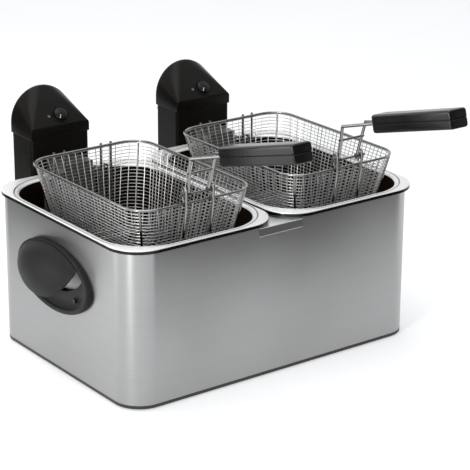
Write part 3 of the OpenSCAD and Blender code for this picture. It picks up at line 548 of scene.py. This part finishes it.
def oval_ring(bm, x, half_w, half_h):
    """A loop of edges: an oval that stands on the body's side."""
    made = bmesh.ops.create_circle(bm, segments=oval_steps, radius=1)["verts"]
    turn = Matrix.Rotation(math.pi / 2, 4, "Y")
    bmesh.ops.transform(bm, matrix=turn, verts=made)
    bmesh.ops.scale(bm, vec=(1, half_w, half_h), verts=made)
    bmesh.ops.translate(bm, vec=(x, oval_y, oval_z), verts=made)
    return once_each(e for v in made for e in v.link_edges)


def loft(bm, rings):
    """Joins loops of edges one after the other with faces."""
    for first, second in zip(rings, rings[1:]):
        bmesh.ops.bridge_loops(bm, edges=first + second)


def mirrored_piece(name, bm, side, finish=()):
    """Turns a bmesh of the right handle into a piece of either handle."""
    if side == "left":
        bmesh.ops.scale(bm, vec=(-1, 1, 1), verts=bm.verts)
        bmesh.ops.reverse_faces(bm, faces=bm.faces)
    return piece(name, bm, "fryer_body", [satin_black], list(finish), sharp=50)


def of_kind(made, kind):
    """The vertices, edges or faces among what an operator has made."""
    return [g for g in made if isinstance(g, kind)]


def face_outwards(bm):
    """Makes the faces look away from the body's side."""
    bmesh.ops.recalc_face_normals(bm, faces=bm.faces)
    if sum(f.normal.x for f in bm.faces) < 0:
        bmesh.ops.reverse_faces(bm, faces=bm.faces)


def egg(y, z):
    """How far the hood stands out of the body's side at a point beside the oval's centre."""
    inside = 1 - (y / (oval_half_w - hood_inset)) ** 2 - (z / oval_half_h) ** 2
    return hood_out * math.sqrt(max(0.0, inside))


def build_frame(side):
    bm = bmesh.new()
    profile = (
        (0.0, 0.0), (0.0, 4.6 * MM), (0.4 * MM, 6.0 * MM), (1.4 * MM, band_out),
        (band - 1.2 * MM, band_out), (band - 0.3 * MM, 6.2 * MM), (band, 5.0 * MM), (band, 0.0),
    )
    rings = [oval_ring(bm, side_x + up, oval_half_w - inset, oval_half_h - inset) for inset, up in profile]
    loft(bm, rings + rings[:1])
    return mirrored_piece(side + "_carry_frame", bm, side)


def build_dish(side):
    """The plate below the hood: its edge is level with the frame and its middle is dished.

    Its upper edge is the lower part of a wide oval that is centred above the handle's middle.
    """
    bm = bmesh.new()
    bmesh.ops.create_grid(bm, x_segments=64, y_segments=24, size=1)
    half_w, half_h = oval_half_w - plate_inset, oval_half_h - plate_inset
    wide_up, wide_half_w, wide_half_h = 37 * MM, 77 * MM, 51 * MM
    for v in bm.verts:
        along, up = v.co.x, (v.co.y + 1) / 2
        y = half_w * math.sin(along * math.pi / 2)
        reach = math.sqrt(max(0.0, 1 - (y / half_w) ** 2))
        low = oval_z - half_h * reach
        smile = oval_z + wide_up - wide_half_h * math.sqrt(max(0.0, 1 - (y / wide_half_w) ** 2))
        high = max(low, min(smile, oval_z + half_h * reach))
        hollow = math.sin(math.pi * min(1.0, up * 1.1)) ** 0.7 * min(1.0, 1.4 * reach)
        out = plate_out - plate_hollow * max(0.0, hollow)
        v.co = Vector((side_x + out, oval_y + y, low + (high - low) * up))
    bmesh.ops.remove_doubles(bm, verts=bm.verts, dist=0.05 * MM)
    bmesh.ops.dissolve_degenerate(bm, edges=bm.edges, dist=0.05 * MM)
    face_outwards(bm)
    rim = [e for e in bm.edges if e.is_boundary]
    made = bmesh.ops.extrude_edge_only(bm, edges=rim)["geom"]
    for v in of_kind(made, bmesh.types.BMVert):
        v.co.x = side_x + 0.2 * MM
    return mirrored_piece(side + "_carry_dish", bm, side)


def reach_to(middle, half_w, half_h, start, along, up):
    """How far a line from a point on the upright axis runs before it meets an oval."""
    a = (along / half_w) ** 2 + (up / half_h) ** 2
    b = up * (start - middle) / half_h ** 2
    c = ((start - middle) / half_h) ** 2 - 1
    return (math.sqrt(b * b - a * c) - b) / a


def build_hood(side):
    """A deep shell: its top follows the frame, and its free edge below is a wide curve to lift by."""
    bm = bmesh.new()
    bmesh.ops.create_grid(bm, x_segments=oval_steps, y_segments=16, size=1)
    share = 0.965
    top_half_w, top_half_h = share * (oval_half_w - hood_inset), share * oval_half_h
    edge_up, edge_half_w, edge_half_h = 30 * MM, 62 * MM, 48 * MM
    for v in bm.verts:
        angle = (v.co.x + 1) * math.pi
        along, up = math.cos(angle), math.sin(angle)
        edge = min(
            reach_to(0.0, top_half_w, top_half_h, hood_start, along, up),
            reach_to(edge_up, edge_half_w, edge_half_h, hood_start, along, up),
        )
        reach = edge * math.sin((v.co.y + 1) / 2 * math.pi / 2)
        y = along * reach
        z = hood_start + up * reach
        v.co = Vector((side_x + egg(y, z), oval_y + y, oval_z + z))
    bmesh.ops.remove_doubles(bm, verts=bm.verts, dist=0.02 * MM)
    face_outwards(bm)
    return mirrored_piece(side + "_carry_hood", bm, side, [walled(hood_wall), bevelled(0.9 * MM, 3)])


for side in SIDES:
    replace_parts(build_frame(side), side + "_carry_handle")
    build_dish(side)
    build_hood(side)
screw_black = grained("screw_black", (0.02, 0.02, 0.02), (0.05, 0.05, 0.05), 0.35, metallic=1.0, scale=500)
paint(screw_black, "carry_screws")
paint(zinc, "left_backing_plate", "right_backing_plate")


# ---- Rear brackets ----------------------------------------------------------
# Two folded steel brackets riveted to the back of the body. The control heads
# hook over their tongues.
paint(bright_steel, "left_rear_bracket", "right_rear_bracket")
paint(zinc, "bracket_rivets")


# ---- Tanks ------------------------------------------------------------------
# Deep-drawn steel tanks with a flat bright rim, wide at the back, and a shallow
# groove round the mouth. The well is coated dark. The rim's brightness is a
# painted reflection: a near-white colour, only partly bare metal. The rim's
# turned-down edge is painted shade, near black, and the groove takes the
# darker body steel as painted shade.
# Painted reflection: the rim is near-white and only partly bare metal, so that it looks white.
rim_steel_painted_reflection = metal("rim_steel_painted_reflection", (0.90, 0.90, 0.89), (0.96, 0.96, 0.95), 0.4, (60, 60, 60), 0.03, bare=0.3)
# Painted shade: the rim's turned-down edge is near black.
lip_painted_shade = metal("lip_painted_shade", (0.020, 0.020, 0.022), (0.035, 0.035, 0.037), 0.3, (60, 60, 60), 0.02)
well_coat = grained(
    "well_coat", (0.008, 0.004, 0.002), (0.014, 0.007, 0.004), 0.5, scale=700, depth=0.08, gloss=0.04,
)


def rounded_ring(bm, w, d, r, z, y):
    """A loop of edges: a level rounded rectangle."""
    made = bmesh.ops.create_grid(bm, x_segments=1, y_segments=1, size=0.5)["verts"]
    bmesh.ops.scale(bm, vec=(w, d, 1), verts=made)
    bmesh.ops.translate(bm, vec=(0, y, z), verts=made)
    rounded = bmesh.ops.bevel(
        bm, geom=made, offset=r, offset_type="OFFSET", segments=12, profile=0.5,
        affect="VERTICES", material=-1,
    )
    verts = once_each([*(v for f in rounded["faces"] for v in f.verts), *rounded["verts"]])
    faces = once_each(f for v in verts for f in v.link_faces)
    edges = once_each(e for v in verts for e in v.link_edges)
    bmesh.ops.delete(bm, geom=faces, context="FACES_ONLY")
    return edges


tank_x = 114.25 * MM
rim_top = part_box("left_tank")[1].z
flange_low, flange_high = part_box("right_tank")
flange_w = flange_high.x - flange_low.x
flange_d = flange_high.y - flange_low.y
flange_y = (flange_low.y + flange_high.y) / 2
tank_wall = 1.2 * MM
rim_r = 42 * MM
lip_h = 5 * MM
roll_r = 4 * MM
roll_steps = 5
floor_r = 12 * MM
floor_steps = 6
well_w = 205 * MM
well_d = 292 * MM
well_y = -6 * MM
well_r = 58 * MM
tank_floor = flange_low.z + tank_wall


def to_side(bm, side):
    """Moves a thing from the middle of the fryer to the middle of one tank."""
    bmesh.ops.translate(bm, vec=(SIDES[side] * tank_x, 0, 0), verts=bm.verts)


def drawn_form(bm, sections):
    """Draws a rounded rectangle on through sections of (width, depth, radius, height, middle, finish)."""
    *start, _ = sections[0]
    edges = rounded_ring(bm, *start)
    for *section, finish in sections[1:]:
        made = bmesh.ops.extrude_edge_only(bm, edges=edges)["geom"]
        for f in of_kind(made, bmesh.types.BMFace):
            f.material_index = finish
        w, d, r, _, y = start
        new_w, new_d, new_r, new_z, new_y = section
        for v in of_kind(made, bmesh.types.BMVert):
            sx = math.copysign(1, v.co.x)
            sy = math.copysign(1, v.co.y - y)
            turn_x = (v.co.x - sx * (w / 2 - r)) / r
            turn_y = (v.co.y - y - sy * (d / 2 - r)) / r
            v.co.x = sx * (new_w / 2 - new_r) + new_r * turn_x
            v.co.y = new_y + sy * (new_d / 2 - new_r) + new_r * turn_y
            v.co.z = new_z
        edges = [
            e for e in of_kind(made, bmesh.types.BMEdge)
            if abs(e.verts[0].co.z - new_z) + abs(e.verts[1].co.z - new_z) < 1e-6
        ]
        start = section
    return edges


def build_tank(side):
    bm = bmesh.new()
    finishes = [rim_steel_painted_reflection, well_coat, lip_painted_shade, brushed_steel]
    bright, coated, dark, groove_shade = range(len(finishes))
    sections = []

    def along_flange(inset, drop, finish):
        w, d = flange_w - 2 * inset, flange_d - 2 * inset
        sections.append((w, d, rim_r - inset, rim_top - drop, flange_y, finish))

    def along_well(grow, z, finish):
        sections.append((well_w + 2 * grow, well_d + 2 * grow, well_r + grow, z, well_y, finish))

    # The turned-down edge, in painted shade.
    along_flange(0.0, lip_h, dark)
    along_flange(0.0, 1.2 * MM, dark)
    # The flat rim and its roll, in the painted reflection.
    along_flange(0.3 * MM, 0.35 * MM, bright)
    along_flange(1.1 * MM, 0.0, bright)
    along_well(roll_r + 3.4 * MM, rim_top, bright)
    # The groove's walls take the darker body steel as painted shade.
    along_well(roll_r + 2.8 * MM, rim_top - 1.1 * MM, groove_shade)
    along_well(roll_r + 1.4 * MM, rim_top, groove_shade)
    for i in range(roll_steps + 1):
        turn = i / roll_steps * math.pi / 2
        z = rim_top - roll_r * (1 - math.cos(turn))
        along_well(roll_r * (1 - math.sin(turn)), z, bright if i < roll_steps else coated)
    for i in range(floor_steps + 1):
        turn = i / floor_steps * math.pi / 2
        z = tank_floor + floor_r * (1 - math.sin(turn))
        along_well(-floor_r * (1 - math.cos(turn)), z, coated)
    last = drawn_form(bm, sections)
    for f in bmesh.ops.contextual_create(bm, geom=last)["faces"]:
        f.material_index = coated
    bmesh.ops.recalc_face_normals(bm, faces=bm.faces)
    lowest = min(bm.faces, key=lambda f: f.calc_center_median().z)
    if lowest.normal.z < 0:
        bmesh.ops.reverse_faces(bm, faces=bm.faces)
    to_side(bm, side)
    return piece(
        side + "_tank_shell", bm, side + "_tank_body", finishes, [walled(tank_wall)],
    )


for side in SIDES:
    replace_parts(build_tank(side), side + "_tank")


# ---- Control heads: case and works ------------------------------------------
# A black moulded box hangs on the rear bracket with its thermostat, cutout,
# terminal block and switch inside. The cap and rear cover close it.
case_black = grained(
    "case_black", (0.004, 0.0035, 0.003), (0.008, 0.007, 0.006), 0.30, scale=1500, depth=0.1, gloss=0.10,
)
ceramic = grained("ceramic", (0.62, 0.60, 0.54), (0.72, 0.70, 0.64), 0.5, scale=500)
brass = metal("brass", (0.52, 0.38, 0.16), (0.62, 0.46, 0.22), 0.3, (80, 80, 80), 0.04)
reset_red = grained("reset_red", (0.40, 0.02, 0.02), (0.48, 0.03, 0.03), 0.35)
for side in SIDES:
    paint(case_black, side + "_head_case", side + "_rear_cover")
    paint(zinc, side + "_head_screws", side + "_cutout", side + "_thermostat")
    paint(ceramic, side + "_terminal_block")
    paint(case_black, side + "_cord_gland", side + "_microswitch")
    paint(reset_red, side + "_reset_button")


# ---- Elements, guards and bulbs ---------------------------------------------
# A sheathed heating loop comes out of the case, down the back of the tank and
# along its floor, behind a slotted steel guard that also holds the bulb.
element_steel = grained(
    "element_steel", (0.05, 0.045, 0.04), (0.10, 0.09, 0.08), 0.4, metallic=1.0, scale=300,
)
guard_steel = metal("guard_steel", (0.20, 0.20, 0.20), (0.28, 0.28, 0.27), 0.4, (6, 6, 500), 0.1)
for side in SIDES:
    paint(element_steel, side + "_element")
    paint(guard_steel, side + "_element_guard")
    paint(brass, side + "_sensor_bulb")


# ---- Caps of the heads ------------------------------------------------------
# A black moulding with a sloping front: straight along its lower edge, and a
# half round arch at the back. A raised ring round the dial stands on the slope.
cap_low, cap_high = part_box("right_head_cap")
cap_half = (cap_high.x - cap_low.x) / 2
cap_front = cap_low.y
cap_rear = cap_high.y
cap_seam = cap_low.z
cap_crest = cap_high.z
cap_wall = 2.2 * MM
lip_top = cap_seam + 14.5 * MM
arch_y = cap_rear - 5 * MM
slope = math.atan2(cap_crest - lip_top, arch_y - cap_front)
dial_spot = Vector((6.5 * MM, 15 * MM))


def arch_chain(bm, y, radius, top, steps=16):
    """An open loop of edges: up one side, over rounded corners and down."""
    path = [(-cap_half, cap_seam)]
    for corner in (-1, 1):
        for i in range(steps + 1):
            turn = i / steps * math.pi / 2
            if corner < 0:
                across, up = -math.cos(turn), math.sin(turn)
            else:
                across, up = math.sin(turn), math.cos(turn)
            path.append((corner * (cap_half - radius) + radius * across, top - radius + radius * up))
    path.append((cap_half, cap_seam))
    verts = [bm.verts.new((x, y, z)) for x, z in path]
    return [bm.edges.new(pair) for pair in zip(verts, verts[1:])]


def on_slope(x, up):
    """Places a thing that is built round Z on the cap's slope."""
    start = Vector((x, cap_front, lip_top))
    turn = Matrix.Rotation(slope, 4, "X")
    return Matrix.Translation(start) @ turn @ Matrix.Translation((0, up, 0))


def spun(bm, profile, steps=64):
    """A turned shape round Z from a profile of (radius, height) points."""
    verts = [bm.verts.new((r, 0, z)) for r, z in profile]
    edges = [bm.edges.new(pair) for pair in zip(verts, verts[1:])]
    bmesh.ops.spin(
        bm, geom=verts + edges, cent=(0, 0, 0), axis=(0, 0, 1), dvec=(0, 0, 0),
        angle=2 * math.pi, steps=steps, use_merge=True, use_duplicate=False,
    )
    bmesh.ops.remove_doubles(bm, verts=bm.verts, dist=0.001 * MM)
    bmesh.ops.recalc_face_normals(bm, faces=bm.faces)


def build_cap(side):
    bm = bmesh.new()
    chains = [
        arch_chain(bm, cap_front, 4 * MM, lip_top),
        arch_chain(bm, arch_y, cap_half, cap_crest),
        arch_chain(bm, cap_rear, cap_half, cap_crest),
    ]
    loft(bm, chains)
    for chain in (chains[0], chains[-1]):
        bmesh.ops.contextual_create(bm, geom=once_each(v for e in chain for v in e.verts))
    bmesh.ops.remove_doubles(bm, verts=bm.verts, dist=0.01 * MM)
    bmesh.ops.recalc_face_normals(bm, faces=bm.faces)
    to_side(bm, side)
    return piece(
        side + "_cap_shell", bm, side + "_head", [case_black],
        [walled(cap_wall), bevelled(1.3 * MM, 3, 30)],
    )


def build_dial_ring(side):
    bm = bmesh.new()
    inner, outer, low, high = 10.5 * MM, 12.5 * MM, -1 * MM, 1.2 * MM
    spun(bm, [
        (inner, low), (inner, high - 0.3 * MM), (inner + 0.3 * MM, high), (outer - 0.5 * MM, high),
        (outer, high - 0.5 * MM), (outer, low), (inner, low),
    ])
    bmesh.ops.transform(bm, matrix=on_slope(*dial_spot), verts=bm.verts)
    to_side(bm, side)
    return piece(side + "_dial_ring", bm, side + "_head", [case_black])


for side in SIDES:
    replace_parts(build_cap(side), side + "_head_cap")
    build_dial_ring(side)


# ---- Dials and lamps --------------------------------------------------------
# A black fluted knob with a white pointer line sets the heat. Beside it the
# lens of a small neon lamp, dark when the heat is off, stands in the slope.
dial_black = grained(
    "dial_black", (0.004, 0.004, 0.004), (0.008, 0.008, 0.008), 0.30, scale=1500, depth=0.1, gloss=0.15,
)
pointer_white = grained("pointer_white", (0.55, 0.55, 0.53), (0.62, 0.62, 0.60), 0.5)
lens_dark = grained("lens_dark", (0.08, 0.07, 0.07), (0.11, 0.10, 0.10), 0.15)
knob_r = 9.5 * MM
knob_low = 0.6 * MM
knob_top = 4 * MM
knob_flutes = 24
flute_depth = 0.015
pointer_size = Vector((1.1, 6, 0.3)) * MM
pointer_turn = math.radians(145)


def build_knob(side):
    bm = bmesh.new()
    spun(bm, [
        (0, knob_top), (knob_r - 1.2 * MM, knob_top), (knob_r - 0.3 * MM, knob_top - 0.8 * MM),
        (knob_r, knob_top - 1.8 * MM), (knob_r, knob_low), (0, knob_low),
    ], steps=96)
    for v in bm.verts:
        if math.hypot(v.co.x, v.co.y) > knob_r - 1.5 * MM:
            wave = math.cos(knob_flutes * math.atan2(v.co.y, v.co.x))
            v.co.x *= 1 - flute_depth + flute_depth * wave
            v.co.y *= 1 - flute_depth + flute_depth * wave
    bmesh.ops.transform(bm, matrix=on_slope(*dial_spot), verts=bm.verts)
    to_side(bm, side)
    return piece(side + "_knob", bm, side + "_dial_body", [dial_black], sharp=50)


def build_pointer(side):
    bm = bmesh.new()
    made = bmesh.ops.create_cube(bm, size=1)["verts"]
    bmesh.ops.scale(bm, vec=pointer_size, verts=made)
    bmesh.ops.translate(bm, vec=(0, 5.6 * MM, knob_top + 0.05 * MM), verts=made)
    turn = Matrix.Rotation(pointer_turn, 4, "Z")
    bmesh.ops.transform(bm, matrix=on_slope(*dial_spot) @ turn, verts=made)
    to_side(bm, side)
    return piece(
        side + "_pointer", bm, side + "_dial_body", [pointer_white],
        [bevelled(0.1 * MM, 1)],
    )


for side in SIDES:
    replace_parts(build_knob(side), side + "_dial")
    build_pointer(side)
    paint(lens_dark, side + "_lamp")


# ---- Basket wires -----------------------------------------------------------
# The basket's frame is welded of round steel wire: a rim ring, a bottom ring
# and four corner wires, with hooks at the back and the bracket at the front.
wire_steel = metal("wire_steel", (0.24, 0.24, 0.23), (0.34, 0.34, 0.33), 0.2, (150, 150, 150), 0.04)
rim_low, rim_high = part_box("right_basket_frame")
basket_y = (rim_low.y + rim_high.y) / 2
rim_wire = 3.2 * MM
frame_wire = 2.6 * MM
ring_w = rim_high.x - rim_low.x - rim_wire
ring_d = rim_high.y - rim_low.y - rim_wire
ring_r = 30.4 * MM
rim_z = rim_high.z - rim_wire / 2
base_z = rim_low.z + frame_wire / 2
taper = 20 * MM


def rounded_path(w, d, r, z, steps=8):
    """The points round a level rounded rectangle."""
    points = []
    for quarter, (sx, sy) in enumerate(((1, 1), (-1, 1), (-1, -1), (1, -1))):
        for i in range(steps + 1):
            turn = (quarter + i / steps) * math.pi / 2
            x = sx * (w / 2 - r) + r * math.cos(turn)
            y = sy * (d / 2 - r) + r * math.sin(turn)
            points.append(Vector((x, y, z)))
    return points


def wires(name, paths, diameter, move, body, material, round_steps):
    """Bends round wire along paths of (points, closed)."""
    curve = bpy.data.curves.new(name, "CURVE")
    curve.dimensions = "3D"
    curve.bevel_depth = diameter / 2
    curve.bevel_resolution = round_steps
    curve.use_fill_caps = True
    for points, closed in paths:
        spline = curve.splines.new("POLY")
        spline.points.add(len(points) - 1)
        for point, place in zip(spline.points, points):
            point.co = (*place, 1)
        spline.use_cyclic_u = closed
    bent = bpy.data.objects.new(name + "_path", curve)
    bpy.context.collection.objects.link(bent)
    shown = bent.evaluated_get(bpy.context.evaluated_depsgraph_get())
    mesh = bpy.data.meshes.new_from_object(shown)
    bpy.data.objects.remove(bent)
    bm = bmesh.new()
    bm.from_mesh(mesh)
    bpy.data.meshes.remove(mesh)
    bmesh.ops.translate(bm, vec=move, verts=bm.verts)
    return piece(name, bm, body, [material], sharp=60)


def basket_wires(side, name, paths, diameter, material, round_steps=3):
    """Wires of one basket, from paths round the basket's own middle."""
    spot = Vector((SIDES[side] * tank_x, basket_y, 0))
    return wires(side + name, paths, diameter, spot, side + "_basket", material, round_steps)


def build_basket_frame(side):
    corner = ring_r * (1 - math.sqrt(0.5))
    low_w, low_d = ring_w - 2 * taper, ring_d - 2 * taper
    uprights = [
        ([
            Vector((x * (low_w / 2 - corner), y * (low_d / 2 - corner), base_z)),
            Vector((x * (ring_w / 2 - corner), y * (ring_d / 2 - corner), rim_z)),
        ], False)
        for x in (-1, 1) for y in (-1, 1)
    ]
    rim = [(rounded_path(ring_w, ring_d, ring_r, rim_z), True)]
    low = [(rounded_path(low_w, low_d, ring_r, base_z), True)]
    rim_piece = basket_wires(side, "_rim_wire", rim, rim_wire, wire_steel)
    basket_wires(side, "_low_wires", low + uprights, frame_wire, wire_steel)
    return rim_piece


for side in SIDES:
    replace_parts(build_basket_frame(side), side + "_basket_frame")
    paint(wire_steel, side + "_basket_hooks", side + "_handle_bracket")


# ---- Basket mesh ------------------------------------------------------------
# Fine round wires: uprights inside, closer on the long sides, and level wires
# round the outside. The bottom is a square grid.
mesh_steel = metal("mesh_steel", (0.52, 0.52, 0.51), (0.62, 0.62, 0.61), 0.38, (150, 150, 150), 0.03)
mesh_low, mesh_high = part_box("right_basket_mesh")
net_w = mesh_high.x - mesh_low.x
net_d = mesh_high.y - mesh_low.y
net_r = 28.8 * MM
upright_wire = 1.2 * MM
level_wire = 0.9 * MM
level_count = 25
front_pitch = 10 * MM
side_pitch = 7.6 * MM
grid_pitch = 8 * MM
grid_margin = 6 * MM


def net_ring(share, grow, steps):
    """The points round the basket at a share of its height."""
    inset = 2 * taper * (1 - share)
    z = mesh_low.z + (mesh_high.z - mesh_low.z) * share
    return rounded_path(net_w - inset + 2 * grow, net_d - inset + 2 * grow, net_r + grow, z, steps)


def spaced(half, pitch):
    """Evenly spaced places from -half to half, close to a pitch apart."""
    count = max(1, round(2 * half / pitch))
    return [-half + 2 * half * i / count for i in range(count + 1)]


def corner_cut(across, width):
    """How much a rounded corner shortens a bottom wire at a distance across."""
    into = abs(across) - (width / 2 - net_r)
    if into <= 0:
        return 0.0
    return net_r - math.sqrt(max(0.0, net_r ** 2 - into ** 2))


def build_net(side):
    foot_w, foot_d = net_w - 2 * taper, net_d - 2 * taper
    low_z, high_z = mesh_low.z + upright_wire / 2, mesh_high.z
    uprights = []
    for x in spaced(net_w / 2 - net_r, front_pitch):
        shrink = (foot_w / 2 - net_r) / (net_w / 2 - net_r)
        for end in (-1, 1):
            top = Vector((x, end * (net_d / 2 - upright_wire), high_z))
            foot = Vector((x * shrink, end * (foot_d / 2 - upright_wire), low_z))
            uprights.append(([top, foot], False))
    for y in spaced(net_d / 2 - net_r, side_pitch):
        shrink = (foot_d / 2 - net_r) / (net_d / 2 - net_r)
        for end in (-1, 1):
            top = Vector((end * (net_w / 2 - upright_wire), y, high_z))
            foot = Vector((end * (foot_w / 2 - upright_wire), y * shrink, low_z))
            uprights.append(([top, foot], False))
    corner_steps = 8
    tops = net_ring(1.0, -upright_wire, corner_steps)
    feet = net_ring(0.0, -upright_wire, corner_steps)
    for i, ends in enumerate(zip(tops, feet)):
        if i % (corner_steps + 1) in (2, 4, 6):
            uprights.append((list(ends), False))
    grid = []
    for x in spaced(foot_w / 2 - grid_margin, grid_pitch):
        reach = foot_d / 2 - corner_cut(x, foot_w)
        grid.append(([Vector((x, -reach, low_z)), Vector((x, reach, low_z))], False))
    over = low_z + upright_wire
    for y in spaced(foot_d / 2 - grid_margin, grid_pitch):
        reach = foot_w / 2 - corner_cut(y, foot_d)
        grid.append(([Vector((-reach, y, over)), Vector((reach, y, over))], False))
    levels = [(net_ring(i / (level_count - 1), 0, 6), True) for i in range(level_count)]
    net = basket_wires(side, "_upright_wires", uprights + grid, upright_wire, mesh_steel, 1)
    basket_wires(side, "_level_wires", levels, level_wire, mesh_steel, 1)
    return net


for side in SIDES:
    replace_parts(build_net(side), side + "_basket_mesh")


# ---- Handles ----------------------------------------------------------------
# A bent wire hinges on the bracket's bar and runs into a black grip, moulded
# in two halves with a fine parting line along its sides.
grip_black = grained(
    "grip_black", (0.006, 0.006, 0.0065), (0.010, 0.010, 0.011), 0.22, scale=1300, depth=0.06, gloss=0.5,
)
grip_start = Vector((0, -200.8, 314.3)) * MM
grip_tilt = math.radians(15.4)
grip_l = 140 * MM
grip_w = 28 * MM
grip_h = 23 * MM
grip_r = 4 * MM
end_round = 2.6 * MM
parting = 0.9 * MM


def build_grip(side):
    bm = bmesh.new()
    rounded_box(bm, grip_w, grip_h, 0, grip_l, grip_r, 6)
    ends = [e for e in bm.edges if abs(e.verts[0].co.z - e.verts[1].co.z) < 1e-6]
    bmesh.ops.bevel(
        bm, geom=ends, offset=end_round, offset_type="OFFSET", segments=4, profile=0.5,
        affect="EDGES", material=-1,
    )
    for level in (-parting, parting, 0.0):
        whole = bm.verts[:] + bm.edges[:] + bm.faces[:]
        bmesh.ops.bisect_plane(bm, geom=whole, dist=1e-7, plane_co=(0, level, 0), plane_no=(0, 1, 0))
    bm.normal_update()
    for v in [v for v in bm.verts if abs(v.co.y) < 1e-6]:
        v.co -= v.normal * parting
    place = Matrix.Translation(grip_start + Vector((SIDES[side] * tank_x, 0, 0)))
    turn = Matrix.Rotation(math.pi / 2 - grip_tilt, 4, "X")
    bmesh.ops.transform(bm, matrix=place @ turn, verts=bm.verts)
    return piece(side + "_grip_shell", bm, side + "_handle", [grip_black])


for side in SIDES:
    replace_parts(build_grip(side), side + "_grip")
    paint(wire_steel, side + "_handle_wire")
